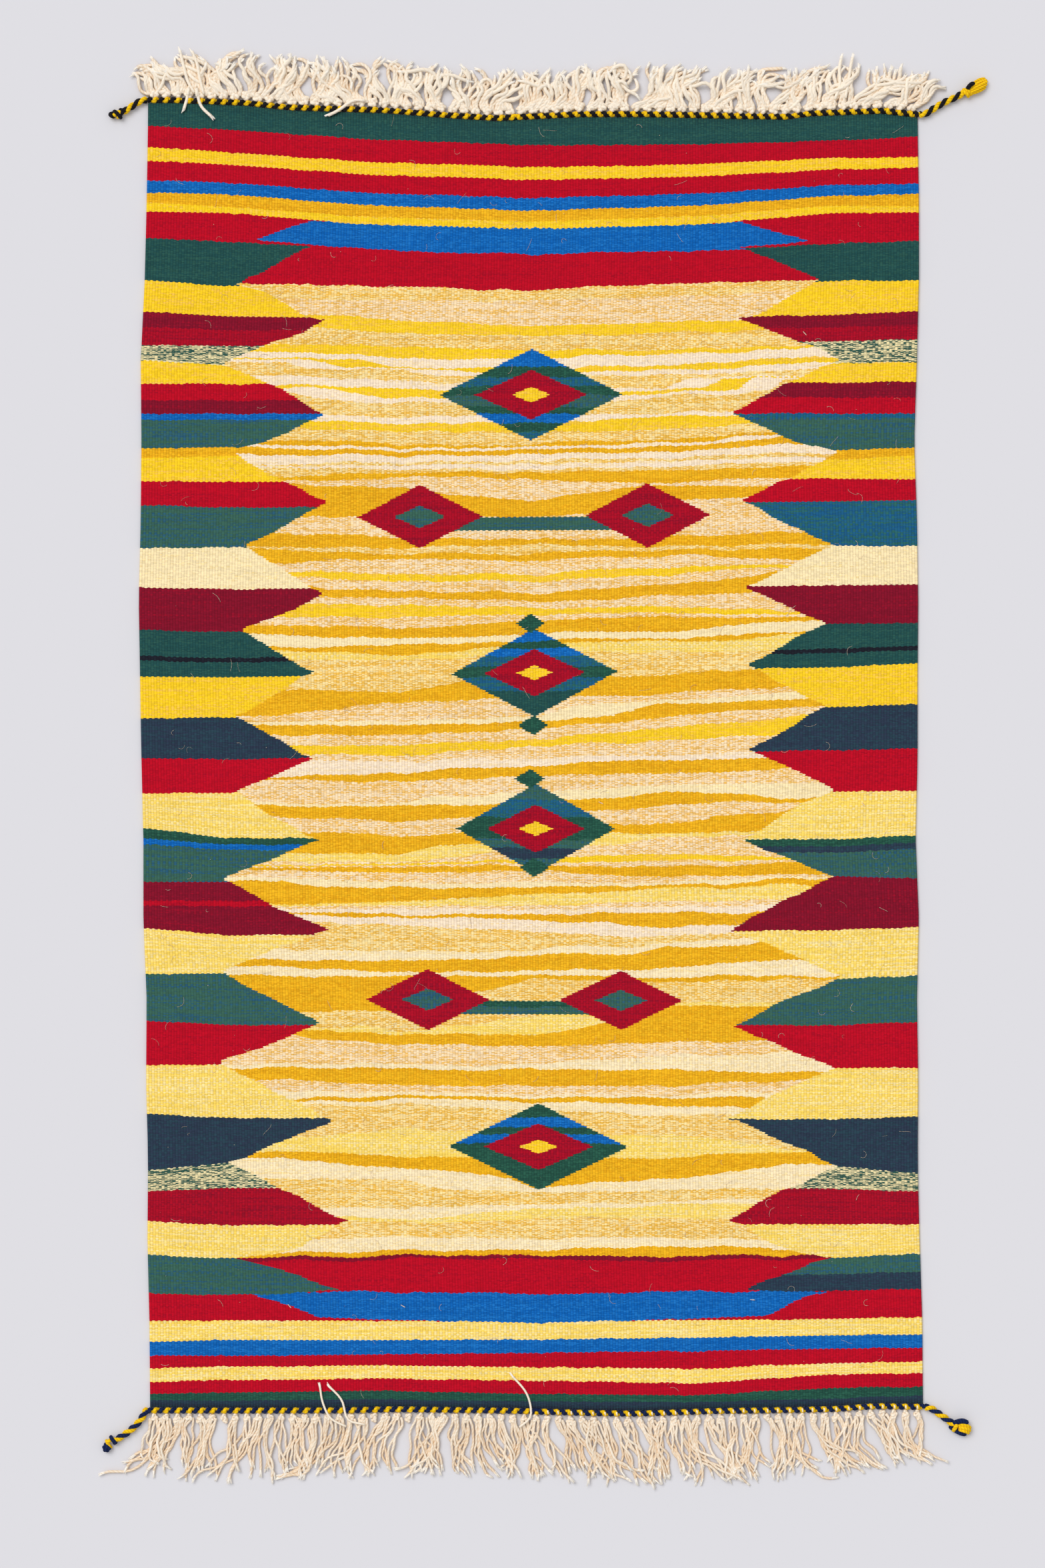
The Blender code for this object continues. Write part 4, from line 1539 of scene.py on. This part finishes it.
HEAD_STRAYS = (
    Stray(((282, 144), (284, 132), (281, 148), (276, 165)), True),
    Stray(((296, 146), (295, 131), (301, 158), (318, 176)), True),
    Stray(((548, 152), (530, 152), (508, 166), (492, 174)), True),
    Stray(((292, 140), (282, 122), (276, 100), (270, 76))),
    Stray(((306, 142), (300, 118), (296, 96), (288, 77))),
    Stray(((1252, 150), (1260, 128), (1259, 105), (1263, 84))),
    Stray(((1268, 148), (1273, 121), (1276, 101), (1279, 86))),
)
FOOT_STRAYS = (
    Stray(((520, 2139), (496, 2126), (484, 2102), (480, 2077)), True),
    Stray(((548, 2136), (522, 2128), (513, 2100), (493, 2078)), True),
    Stray(((779, 2140), (795, 2126), (796, 2108), (788, 2086), (768, 2063)), True),
)


@dataclass(frozen=True)
class Bunch:
    """The strands of one knot, side by side: their lean, reach and curl, and where their waves begin."""

    lean: float
    reach: float
    phase: float
    curl: float


# A small overhand knot: how far its yarn turns, in radians, and in how many steps.
KNOT_START = 0.4
KNOT_TURN = 5.5
KNOT_STEPS = 13
SECOND_KNOT_SHARE = 0.4
SECOND_KNOT_SIZE = 0.75

# How far each strand may differ from its bunch, as shares of the bunch's own measures.
SWAY_RANGE = (0.7, 1.25)
WAVES_RANGE = (0.85, 1.15)
CURL_RANGE = (0.5, 1.2)
KINK_RANGE = (0.4, 1.2)
KINKS_RANGE = (1.8, 3.2)
LOOP_RANGE = (1.6, 2.8)
OWN_LEAN = 0.35
STRAND_STEPS = 18

# The hairs of a frayed tip: how far they turn, reach, start back and run on, in radians and millimetres,
# and how wide they are, as shares of the strand and then of themselves.
HAIR_TURN = 0.2
HAIR_REACH = (1.5, 4.5)
HAIR_START = 4.0
HAIR_BEND = 1.7
HAIR_WIDTH = (0.48, 0.66)
HAIR_TAPER = (1.0, 0.85, 0.4)

# The short white ends by the foot's twining: their way, in steps across, and outwards and up in millimetres.
NUB_WAY = ((0, 0.0, 0.0), (1, 1.2, 0.7), (2, 2.6, 0.0))
NUB_WIDTH = 1.5 * MM

# How high a charted strand lies where it crosses the twining, and where it lies on other strands.
ON_TWINING = 6.2 * MM
ON_STRANDS = 5.0 * MM
STRAY_SPACING = 3.0 * MM


@dataclass
class Fringe:
    """The warp ends of one end: a knot of cotton by each turn of the twining, and its strands on the floor.

    Sway is how far a bunch swings from side to side, waves how often, spread how far its lean differs from
    its neighbours', kink how far a strand bends by itself, own how far it leaves its bunch, looped the share
    of the strands that bend right over, and stacked how high they lie on each other. Bare are the stretches
    whose knots have no strands, in millimetres, and nubs_from the place after which short white ends stand
    over the twining.
    """

    end: str
    line: Sequence[Sag]
    outward: int
    lies: Sequence[Lie]
    strays: Sequence[Stray]
    length: tuple[float, float]
    sway: float
    waves: float
    spread: float
    kink: float
    own: float
    looped: float
    stacked: float
    seed: int
    knot_out: float
    knot_shape: tuple[float, float]
    strands_per_knot: Sequence[int]
    bare: Sequence[tuple[float, float]] = ()
    nubs_from: float = 1.0
    strand: float = 2.75 * MM
    hairs: int = 6
    knots: int = 67
    knot_up: float = 3.0 * MM

    def _lie(self, where: float) -> tuple[float, float]:
        """The lean and the reach at a place along the end.

        Args:
            where: the place, from 0 at the left to 1 at the right.
        Returns:
            The lean, and the reach in metres.
        """
        places = [row.where for row in self.lies]
        lean = np.interp(where, places, [row.lean for row in self.lies])
        return float(lean), float(np.interp(where, places, [row.reach for row in self.lies])) * MM

    def _root(self, where: float) -> Vector:
        """The middle of a knot.

        Args:
            where: the place, from 0 at the left to 1 at the right.
        Returns:
            The point.
        """
        first, last = self.line[0].across * MM + 2 * MM, self.line[-1].across * MM - 2 * MM
        across = first + (last - first) * where
        return Vector((across, line_height(self.line, across) + self.outward * self.knot_out, self.knot_up))

    def _knot(self, rng: random.Random, bundle: Bundle, root: Vector, size: float = 1.0) -> None:
        """Tie one small overhand knot.

        Args:
            rng: the piece's random numbers.
            bundle: takes up the knot.
            root: its middle.
            size: its size, as a share of the usual one.
        """
        turn, size = rng.uniform(0, 2 * math.pi), size * rng.uniform(0.9, 1.1) * MM
        path = []
        for step in range(KNOT_STEPS + 1):
            angle = KNOT_START + KNOT_TURN * step / KNOT_STEPS
            across = math.sin(angle) + 2 * math.sin(2 * angle)
            along = math.cos(angle) - 2 * math.cos(2 * angle)
            place = Matrix.Rotation(turn, 3, "Z") @ Vector((across, along, -0.9 * math.sin(3 * angle)))
            place.x *= self.knot_shape[0]
            place.y *= self.knot_shape[1]
            path.append(root + place * size)
        bundle.add(path, self.strand * 1.05, tone=rng.uniform(0.3, 0.8))

    def _strand(self, rng: random.Random, root: Vector, bunch: Bunch, layer: float) -> list[Vector]:
        """Find the way of one strand.

        Args:
            rng: the piece's random numbers.
            root: where it leaves its knot.
            bunch: the strands that it lies with.
            layer: how high it lies on the others.
        Returns:
            Its points, from its knot to its tip.
        """
        length = bunch.reach * math.hypot(1.0, bunch.lean) * 1.2
        lean = math.atan(bunch.lean) + rng.uniform(-1, 1) * self.own * OWN_LEAN
        phase = bunch.phase + rng.uniform(-1, 1) * self.own
        sway, waves = self.sway * rng.uniform(*SWAY_RANGE), self.waves * rng.uniform(*WAVES_RANGE)
        curl = bunch.curl * rng.uniform(*CURL_RANGE)
        kink, kinks = self.kink * rng.uniform(*KINK_RANGE), rng.uniform(*KINKS_RANGE)
        bend = rng.uniform(0, 2 * math.pi)
        if rng.random() < self.looped:
            curl = rng.choice((-1, 1)) * rng.uniform(*LOOP_RANGE)
        path, place = [root.copy()], root.copy()
        for step in range(1, STRAND_STEPS + 1):
            share = step / STRAND_STEPS
            angle = lean * min(1.0, 0.35 + share * 1.2) + sway * math.sin(share * waves * 2 * math.pi + phase)
            angle += curl * max(0.0, share - 0.4) / 0.6 + kink * math.sin(share * kinks * 2 * math.pi + bend)
            ahead = Vector((math.sin(angle), self.outward * math.cos(angle), 0))
            place = place + ahead * (length / STRAND_STEPS)
            rest = self.strand / 2 + layer * (0.55 + 0.45 * math.sin(share * 7.0 + phase * 2.0))
            place.z = root.z + (rest - root.z) * min(1.0, share * 3.0)
            path.append(place.copy())
        farthest = max(self.outward * (point.y - root.y) for point in path)
        shrink = min(1.5, bunch.reach * rng.uniform(*self.length) / max(farthest, 0.45 * length))
        for point in path:
            point.x = root.x + (point.x - root.x) * shrink
            point.y = root.y + (point.y - root.y) * shrink
        return path

    def _fray(self, rng: random.Random, fray: Bundle, path: Sequence[Vector]) -> None:
        """Let a strand's tip come apart into a brush of fine ends.

        Args:
            rng: the piece's random numbers.
            fray: takes up the hairs.
            path: the strand's points.
        """
        tip, heading = path[-1], (path[-1] - path[-2]).normalized()
        across = heading.cross(Vector((0, 0, 1)))
        for _ in range(self.hairs):
            aim = Matrix.Rotation(rng.uniform(-HAIR_TURN, HAIR_TURN), 3, "Z") @ heading
            reach = rng.uniform(*HAIR_REACH) * MM
            start = tip - heading * HAIR_START * MM + across * rng.uniform(-0.6, 0.6) * MM
            start.z += rng.uniform(-0.4, 0.6) * MM
            bend = start + (heading + aim) * HAIR_BEND * MM
            width = rng.uniform(*HAIR_WIDTH) * self.strand
            widths = [width * share for share in HAIR_TAPER]
            fray.add([start, bend, bend + aim * reach], widths, tone=rng.random(), dye=Cotton.FRAYED)

    def _stray_height(self, stray: Stray, index: int) -> float:
        """How high a charted strand lies at one of its points.

        Args:
            stray: the strand.
            index: which of its points.
        Returns:
            The height, in metres.
        """
        if not stray.over_weave:
            return ON_STRANDS
        return ON_TWINING if index <= 1 else THICKNESS + self.strand / 2 + GAP

    def _add_nub(self, rng: random.Random, strands: Bundle, root: Vector) -> None:
        """Let a short white end stand out over the twining, beside a knot.

        Args:
            rng: the piece's random numbers.
            strands: takes up the end.
            root: the knot's middle.
        """
        nub = root - Vector((rng.uniform(-1, 1) * MM, self.outward * (self.knot_out + 1.4 * MM), -1.6 * MM))
        path = [nub + Vector((0.2 * step, self.outward * out, up)) * MM for step, out, up in NUB_WAY]
        strands.add(path, NUB_WIDTH, tone=1.0)

    def _lay_strays(self, rng: random.Random, strands: Bundle, fray: Bundle) -> None:
        """Lay the strands that the chart names one by one.

        Args:
            rng: the piece's random numbers.
            strands: takes up the strands.
            fray: takes up the hairs of their tips.
        """
        for stray in self.strays:
            heights = (self._stray_height(stray, index) for index in range(len(stray.way)))
            points = [Vector((*spot(*place), height)) for place, height in zip(stray.way, heights)]
            path = smooth_route(points, STRAY_SPACING)
            strands.add(path, self.strand * 0.85, tone=rng.uniform(0.6, 0.9))
            self._fray(rng, fray, path)

    def _lay_bunch(self, rng: random.Random, strands: Bundle, fray: Bundle, root: Vector,
                   bunch: Bunch) -> None:
        """Lay the strands of one knot side by side.

        Args:
            rng: the piece's random numbers.
            strands: takes up the strands.
            fray: takes up the hairs of their tips.
            root: the middle of their knot.
            bunch: how they lie.
        """
        count = rng.choice(self.strands_per_knot)
        base = rng.uniform(0.0, 0.45) * self.stacked
        for number in range(count):
            beside = (number - (count - 1) / 2) * 1.5 + rng.uniform(-0.5, 0.5)
            start = root + Vector((beside, self.outward * rng.uniform(-0.3, 1.2), 0)) * MM
            layer = base + rng.uniform(0.0, 0.55) * self.stacked
            path = self._strand(rng, start, bunch, layer)
            thickness = [self.strand * rng.uniform(0.88, 1.1)] * len(path)
            thickness[-1] *= 0.75
            strands.add(path, thickness, tone=rng.uniform(0.1, 0.9), flatness=0.9)
            self._fray(rng, fray, path)

    def build(self) -> bpy.types.Object:
        """Tie every knot and lay out its strands.

        Returns:
            The piece.
        """
        rng = random.Random(self.seed)
        strands, fray = Bundle(sides=6, stations=16), Bundle(sides=4, stations=5)
        knots = Bundle(sides=8, stations=24)
        for index in range(self.knots):
            where = (index + 0.5) / self.knots
            root = self._root(where)
            self._knot(rng, knots, root)
            if rng.random() < SECOND_KNOT_SHARE:
                beside = Vector((rng.uniform(-2, 2), self.outward * 3.0, -0.3)) * MM
                self._knot(rng, knots, root + beside, SECOND_KNOT_SIZE)
            if any(low <= root.x / MM <= high for low, high in self.bare):
                continue
            lean, reach = self._lie(where)
            lean += rng.uniform(-1, 1) * self.spread
            bunch = Bunch(lean, reach, rng.uniform(0, 2 * math.pi), rng.uniform(-0.7, 0.7))
            self._lay_bunch(rng, strands, fray, root, bunch)
            if where > self.nubs_from:
                self._add_nub(rng, strands, root)
        self._lay_strays(rng, strands, fray)
        mesh = join(f"cotton_fringe_{self.end}", [strands.build(), knots.build(), fray.build()])
        piece = link(mesh.name, mesh, [COTTON.make(), FRAYED.make()])
        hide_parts(f"warp_fringe_{self.end}")
        return piece


def smooth_route(points: Sequence[Vector], spacing: float) -> list[Vector]:
    """Points at an even spacing along a smooth curve through a route's own points.

    Args:
        points: the route's own points.
        spacing: how far apart the new points lie, in metres.
    Returns:
        The new points.
    """
    fineness = 24
    ends = [2 * points[0] - points[1], *points, 2 * points[-1] - points[-2]]
    dense = []
    for before, low, high, after in zip(ends, ends[1:], ends[2:], ends[3:]):
        for step in range(fineness):
            t = step / fineness
            pull = (high - before) * t + (2 * before - 5 * low + 4 * high - after) * t**2
            pull += (3 * low - before - 3 * high + after) * t**3
            dense.append(low + pull / 2)
    dense.append(points[-1])
    walked = [0.0]
    for before, after in zip(dense, dense[1:]):
        walked.append(walked[-1] + (after - before).length)
    count = max(2, round(walked[-1] / spacing))
    places = np.linspace(0.0, walked[-1], count + 1)
    parts = [np.interp(places, walked, [point[axis] for point in dense]) for axis in range(3)]
    return [Vector(place) for place in zip(*parts)]


@dataclass(frozen=True)
class Wrap:
    """A length of yarn in a knot: which one, how thick, and its way through the air, in millimetres."""

    ply: Ply
    thickness: float
    way: tuple[tuple[float, float, float], ...]


# How thick the two points next to a wrap's ends are, as shares of the yarn, and how close its points lie.
ROUNDED_END = (0.55, 0.88)
WRAP_SPACING = 0.7 * MM


@dataclass
class Tail:
    """The twisted ends of one corner's twining yarns, and the knot that ends them."""

    corner: str
    route: Sequence[tuple[float, float]]
    twist: int
    phase: float
    length: float
    dark: SpunYarn
    knot: Sequence[Wrap]
    width: float = 5.4 * MM
    yarn: float = 3.7 * MM
    offset: float = 1.4 * MM
    turn: float = 13.5 * MM
    steps_per_turn: int = 12

    @property
    def end(self) -> str:
        """Which end of the rug the corner is at."""
        return self.corner.split("_")[0]

    def _middle(self) -> list[Vector]:
        """The tail's middle line, as high as the two yarns need it.

        Returns:
            Its points, from the corner.
        """
        height = self.offset + self.yarn / 2
        points = [Vector((across * MM, along * MM, height)) for across, along in self.route]
        return smooth_route(points, self.turn / self.steps_per_turn)

    def _coil(self, middle: Sequence[Vector], start: float) -> list[Vector]:
        """One yarn's way round the middle line.

        Args:
            middle: the tail's middle line.
            start: where on its round the yarn starts, in radians.
        Returns:
            The yarn's points.
        """
        path = []
        for index, point in enumerate(middle):
            before, after = middle[max(0, index - 1)], middle[min(len(middle) - 1, index + 1)]
            side = (after - before).normalized().cross(Vector((0, 0, 1)))
            angle = start + self.twist * 2 * math.pi * index / self.steps_per_turn
            path.append(point + self.offset * (math.cos(angle) * side + Vector((0, 0, math.sin(angle)))))
        return path

    def _tie(self) -> bpy.types.Object:
        """Tie the knot, one wrap of yarn after another, with rounded ends.

        Returns:
            The piece.
        """
        rng = random.Random(len(self.corner))
        bundle = Bundle(sides=10, stations=20)
        for wrap in self.knot:
            path = smooth_route([Vector(place) * MM for place in wrap.way], WRAP_SPACING)
            thickness = [wrap.thickness * MM] * len(path)
            for index, share in enumerate(ROUNDED_END):
                thickness[index] = thickness[-1 - index] = share * wrap.thickness * MM
            bundle.add(path, thickness, tone=rng.random(), dye=wrap.ply)
        mesh = join(f"tied_knot_{self.corner}", [bundle.build()])
        piece = link(mesh.name, mesh, [YELLOW_YARN.make(), self.dark.make()])
        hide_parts(f"tail_knot_{self.corner}")
        f"{self.end}_knot"
        return piece

    def build(self) -> list[bpy.types.Object]:
        """Twist the tail and tie its knot.

        Returns:
            The tail and its knot.
        """
        middle = self._middle()
        bundle = Bundle(sides=10, stations=2 * len(middle))
        bundle.add(self._coil(middle, self.phase), self.yarn, dye=Ply.YELLOW)
        bundle.add(self._coil(middle, self.phase + math.pi), self.yarn, dye=Ply.DARK)
        mesh = join(f"plied_tail_{self.corner}", [bundle.build()])
        tail = link(mesh.name, mesh, [YELLOW_YARN.make(), self.dark.make()])
        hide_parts(f"corner_tail_{self.corner}")
        f"{self.end}_twine"
        knot = self._tie()
        return [tail, knot]


HEAD_LEFT_KNOT = (
    Wrap(Ply.DARK, 3.7,
         ((-375.4, 577.6, 2.2), (-377.6, 578.0, 4.4), (-379.4, 579.5, 4.0), (-378.2, 581.4, 2.2))),
    Wrap(Ply.DARK, 3.6,
         ((-376.2, 582.8, 2.0), (-374.6, 581.6, 5.4), (-371.6, 578.6, 6.2), (-369.4, 576.2, 2.8))),
    Wrap(Ply.YELLOW, 2.6, ((-377.2, 576.6, 1.8), (-375.0, 579.0, 4.6), (-373.4, 582.8, 3.2))),
    Wrap(Ply.YELLOW, 2.8, ((-373.4, 576.2, 2.0), (-371.2, 579.6, 4.8), (-370.2, 583.6, 3.4))),
    Wrap(Ply.DARK, 3.2, ((-371.4, 584.2, 2.4), (-368.4, 583.4, 5.0), (-365.6, 581.6, 5.6))),
)
HEAD_RIGHT_KNOT = (
    Wrap(Ply.YELLOW, 3.4,
         ((386.4, 600.4, 2.4), (389.0, 599.4, 5.6), (391.8, 597.2, 5.8), (393.4, 595.6, 2.4))),
    Wrap(Ply.YELLOW, 3.0,
         ((388.0, 602.4, 2.2), (391.0, 601.2, 6.0), (394.4, 598.8, 5.6), (395.8, 597.2, 2.6))),
    Wrap(Ply.DARK, 3.9,
         ((391.4, 601.2, 3.6), (392.6, 603.6, 7.6), (395.2, 606.2, 8.0), (397.8, 607.2, 4.6))),
    Wrap(Ply.YELLOW, 2.5,
         ((390.8, 601.8, 2.6), (396.0, 606.6, 3.2), (402.6, 611.0, 3.6), (408.4, 612.4, 2.2))),
    Wrap(Ply.YELLOW, 2.6,
         ((391.0, 600.8, 4.2), (396.8, 604.6, 5.6), (403.4, 608.8, 5.4), (409.8, 610.8, 2.8))),
    Wrap(Ply.YELLOW, 2.5,
         ((391.2, 599.8, 4.6), (397.6, 602.6, 6.4), (404.6, 606.4, 6.2), (410.2, 609.4, 3.4))),
    Wrap(Ply.YELLOW, 2.6,
         ((391.2, 599.0, 4.0), (397.6, 600.4, 5.6), (404.2, 603.6, 5.6), (409.8, 607.2, 2.8))),
    Wrap(Ply.YELLOW, 2.5,
         ((391.0, 598.4, 3.0), (397.0, 598.6, 4.0), (403.6, 601.0, 4.2), (408.8, 604.6, 2.2))),
    Wrap(Ply.YELLOW, 2.4,
         ((392.0, 600.0, 2.0), (398.6, 601.6, 2.6), (405.0, 605.2, 2.8), (409.4, 608.6, 1.8))),
)
FOOT_LEFT_KNOT = (
    Wrap(Ply.YELLOW, 3.4,
         ((-377.0, -612.4, 2.4), (-379.8, -613.2, 5.4), (-381.6, -615.6, 5.2), (-381.4, -618.2, 2.6))),
    Wrap(Ply.DARK, 3.6,
         ((-379.2, -609.8, 2.4), (-378.0, -611.4, 5.8), (-375.4, -614.4, 6.0), (-374.4, -616.0, 2.6))),
    Wrap(Ply.YELLOW, 3.0,
         ((-383.4, -613.2, 2.0), (-382.0, -615.2, 4.8), (-379.8, -618.4, 4.6), (-378.4, -620.2, 2.0))),
    Wrap(Ply.DARK, 3.9,
         ((-384.0, -616.4, 2.4), (-382.8, -617.8, 5.0), (-380.8, -619.8, 4.8), (-379.8, -621.0, 2.4))),
    Wrap(Ply.DARK, 3.9,
         ((-385.4, -618.8, 2.4), (-384.2, -620.2, 4.7), (-382.4, -621.9, 4.5), (-381.4, -622.8, 2.4))),
    Wrap(Ply.DARK, 3.9, ((-380.6, -618.6, 3.6), (-383.2, -621.2, 4.2), (-385.2, -623.0, 2.8))),
)
FOOT_RIGHT_KNOT = (
    Wrap(Ply.DARK, 4.2,
         ((375.8, -600.4, 2.4), (380.2, -603.8, 3.6), (385.4, -606.6, 4.4), (391.0, -608.2, 3.0))),
    Wrap(Ply.DARK, 4.8,
         ((379.4, -598.6, 3.4), (382.4, -596.4, 6.2), (387.4, -595.4, 7.0), (392.4, -597.6, 5.6))),
    Wrap(Ply.YELLOW, 3.6, ((379.2, -605.0, 3.0), (380.6, -601.6, 7.2), (382.6, -598.2, 6.6))),
    Wrap(Ply.YELLOW, 3.4,
         ((382.8, -600.2, 5.0), (387.4, -598.8, 7.0), (392.4, -600.2, 6.4), (394.8, -602.8, 3.6))),
    Wrap(Ply.YELLOW, 3.2,
         ((383.8, -601.6, 5.0), (388.2, -601.6, 8.2), (392.6, -603.0, 6.6), (394.4, -605.0, 3.4))),
    Wrap(Ply.YELLOW, 3.2,
         ((384.0, -603.4, 4.6), (388.2, -604.2, 7.4), (391.8, -605.6, 5.8), (393.2, -607.2, 3.0))),
    Wrap(Ply.DARK, 3.4, ((382.0, -601.0, 2.2), (387.0, -600.6, 2.8), (391.6, -602.8, 2.6))),
)
TAILS = (
    Tail("head_left", ((-347.3, 592.8), (-350.4, 592.4), (-353.8, 591.0), (-358.6, 588.0), (-364.0, 584.4),
                       (-370.0, 581.0), (-378.0, 579.4)), 1, 0.0, 0.034, BLACK_YARN, HEAD_LEFT_KNOT),
    Tail("head_right", ((349.3, 579.6), (352.6, 579.9), (356.2, 581.4), (362.4, 585.4), (372.0, 591.0),
                        (382.0, 595.4), (390.0, 600.2)), 1, 0.0, 0.046, BLACK_YARN, HEAD_RIGHT_KNOT),
    Tail("foot_left", ((-347.3, -586.6), (-349.2, -590.0), (-352.2, -594.8), (-356.2, -599.6),
                       (-361.2, -604.2), (-367.2, -608.6), (-373.0, -612.2), (-377.4, -615.0)), -1, 0.0,
         0.0421, NAVY_YARN, FOOT_LEFT_KNOT),
    Tail("foot_right", ((354.3, -583.5), (357.4, -583.9), (361.2, -585.8), (366.0, -589.2), (372.6, -593.8),
                        (378.6, -598.0), (384.0, -600.4)), 1, 0.0, 0.0346, NAVY_YARN, FOOT_RIGHT_KNOT),
)


@dataclass
class Lint:
    """Loose hairs, specks and a few straws that cling to the weave.

    Farthest is how far up and down they lie, in millimetres, and margin how far in from the selvedges. The
    straws lie at squares of the chart.
    """

    hairs: int = 420
    hair_steps: int = 7
    specks: int = 110
    seed: int = 5
    farthest: float = 570.0
    margin: float = 10.0 * MM
    straws: Sequence[tuple[int, int]] = (
        (1133, 1950), (437, 1962), (608, 1961), (1210, 503), (905, 1206), (640, 1078), (1298, 1210),
    )

    def _somewhere(self, rng: random.Random) -> Vector:
        """A place just above the weave.

        Args:
            rng: the piece's random numbers.
        Returns:
            The place.
        """
        along = rng.uniform(-self.farthest, self.farthest) * MM
        left, right = Chart.sides(along)
        across = rng.uniform(left + self.margin, right - self.margin)
        return Vector((across, along, THICKNESS + lift(across, along) + rng.uniform(0.1, 0.3) * MM))

    def build(self) -> bpy.types.Object:
        """Scatter the hairs and specks over the field and lay the straws.

        Returns:
            The piece.
        """
        rng = random.Random(self.seed)
        bundle = Bundle(sides=3, stations=8)
        for _ in range(self.hairs):
            heading, bend = rng.uniform(0, 2 * math.pi), rng.uniform(-0.5, 0.5)
            step, path = rng.uniform(0.5, 1.9) * MM, [self._somewhere(rng)]
            for _ in range(self.hair_steps):
                heading += bend + rng.uniform(-0.25, 0.25)
                path.append(path[-1] + Vector((math.cos(heading), math.sin(heading), 0)) * step)
            bundle.add(path, rng.uniform(0.16, 0.34) * MM, tone=rng.random())
        for _ in range(self.specks):
            place = self._somewhere(rng)
            end = place + Vector((rng.uniform(-0.4, 0.4), rng.uniform(-0.7, 0.7), 0.1)) * MM
            bundle.add([place, end], rng.uniform(0.4, 0.8) * MM, tone=1.0)
        for column, row in self.straws:
            across, along = spot(column, row)
            start = Vector((across, along, THICKNESS + lift(across, along) + 0.4 * MM))
            aim = Matrix.Rotation(rng.uniform(0, math.pi), 3, "Z") @ Vector((1, 0, 0))
            bundle.add([start, start + aim * 2.5 * MM, start + aim * 4.5 * MM], 0.8 * MM, tone=1.0)
        mesh = join("loose_lint", [bundle.build()])
        piece = link(mesh.name, mesh, [LINT_FIBRE.make()])
        return piece


@dataclass
class Studio:
    """The floor, the light and the camera. Softness is how wide the light looks, in degrees."""

    floor_size: float = 12.0
    floor_level: float = -0.05 * MM
    floor_colour: Colour = srgb(223, 222, 227)
    sensor: float = 36.0
    softness: float = 40.0
    key: float = 1.6
    key_from: tuple[float, float, float] = (-0.5, 0.55, 1.0)
    sky: float = 0.6
    sky_colour: Colour = (1.0, 1.0, 1.0, 1.0)

    def camera(self) -> None:
        """Look straight down on the rug, framed as in the picture."""
        data = bpy.data.cameras.new("camera")
        data.sensor_width = self.sensor
        data.lens = data.sensor_width * CAMERA_HEIGHT / VIEW_HEIGHT
        camera = add_object("camera", data)
        camera.location = (*VIEW_MIDDLE, CAMERA_HEIGHT + THICKNESS)
        bpy.context.scene.camera = camera

    def floor(self) -> None:
        """Lay a plain pale floor."""
        bm = bmesh.new()
        bmesh.ops.create_grid(bm, x_segments=1, y_segments=1, size=self.floor_size / 2)
        bmesh.ops.translate(bm, verts=bm.verts, vec=(0, 0, self.floor_level))
        floor = add_object("floor", to_mesh("floor", bm))
        graph = Graph("pale floor", roughness=0.8)
        graph.shader.inputs["Base Color"].default_value = self.floor_colour
        floor.data.materials.append(graph.material)

    def lights(self) -> None:
        """One wide soft light from the upper left, even over the whole floor, and a pale sky."""
        data = bpy.data.lights.new("soft key", "SUN")
        data.angle = math.radians(self.softness)
        data.energy = self.key
        light = add_object("soft key", data)
        light.rotation_euler = Vector(self.key_from).to_track_quat("Z", "Y").to_euler()
        world = bpy.data.worlds.new("sky")
        world.use_nodes = True
        background = world.node_tree.nodes["Background"]
        background.inputs["Color"].default_value = self.sky_colour
        background.inputs["Strength"].default_value = self.sky
        bpy.context.scene.world = world
        bpy.context.scene.view_settings.view_transform = "Standard"


def main() -> None:
    """Build the camera and every piece in order, then the floor and the light."""
    logging.basicConfig(level=logging.INFO, format="%(message)s")
    studio = Studio()
    studio.camera()
    for tail in TAILS:
        tail.build()
    edges = [
        Twining("head", HEAD_LINE, -15 * MM, BLACK_YARN).build(),
        Twining("foot", FOOT_LINE, 4 * MM, NAVY_YARN).build(),
        Fringe("head", HEAD_LINE, 1, HEAD_LIES, HEAD_STRAYS, length=(0.66, 1.08), sway=0.8, waves=0.85,
               spread=0.38, kink=0.3, own=0.42, looped=0.06, stacked=5.0 * MM, seed=21, knot_out=5.2 * MM,
               knot_shape=(1.05, 0.7), strands_per_knot=(6, 6, 6, 7), strand=3.35 * MM).build(),
        Fringe("foot", FOOT_LINE, -1, FOOT_LIES, FOOT_STRAYS, length=(0.74, 1.05), sway=0.32, waves=0.9,
               spread=0.48, kink=0.3, own=0.9, looped=0.0, stacked=3.4 * MM, seed=34, knot_out=6.0 * MM,
               knot_shape=(0.85, 0.95), strands_per_knot=(4, 5, 5, 6), strand=2.3 * MM,
               bare=((-284, -271), (-143, -135), (-115, -106)), nubs_from=0.5).build(),
        Lint().build(),
    ]
    weave = Weave(Chart()).build()
    studio.floor()
    studio.lights()
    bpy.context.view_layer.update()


if __name__ == "__main__":
    main()
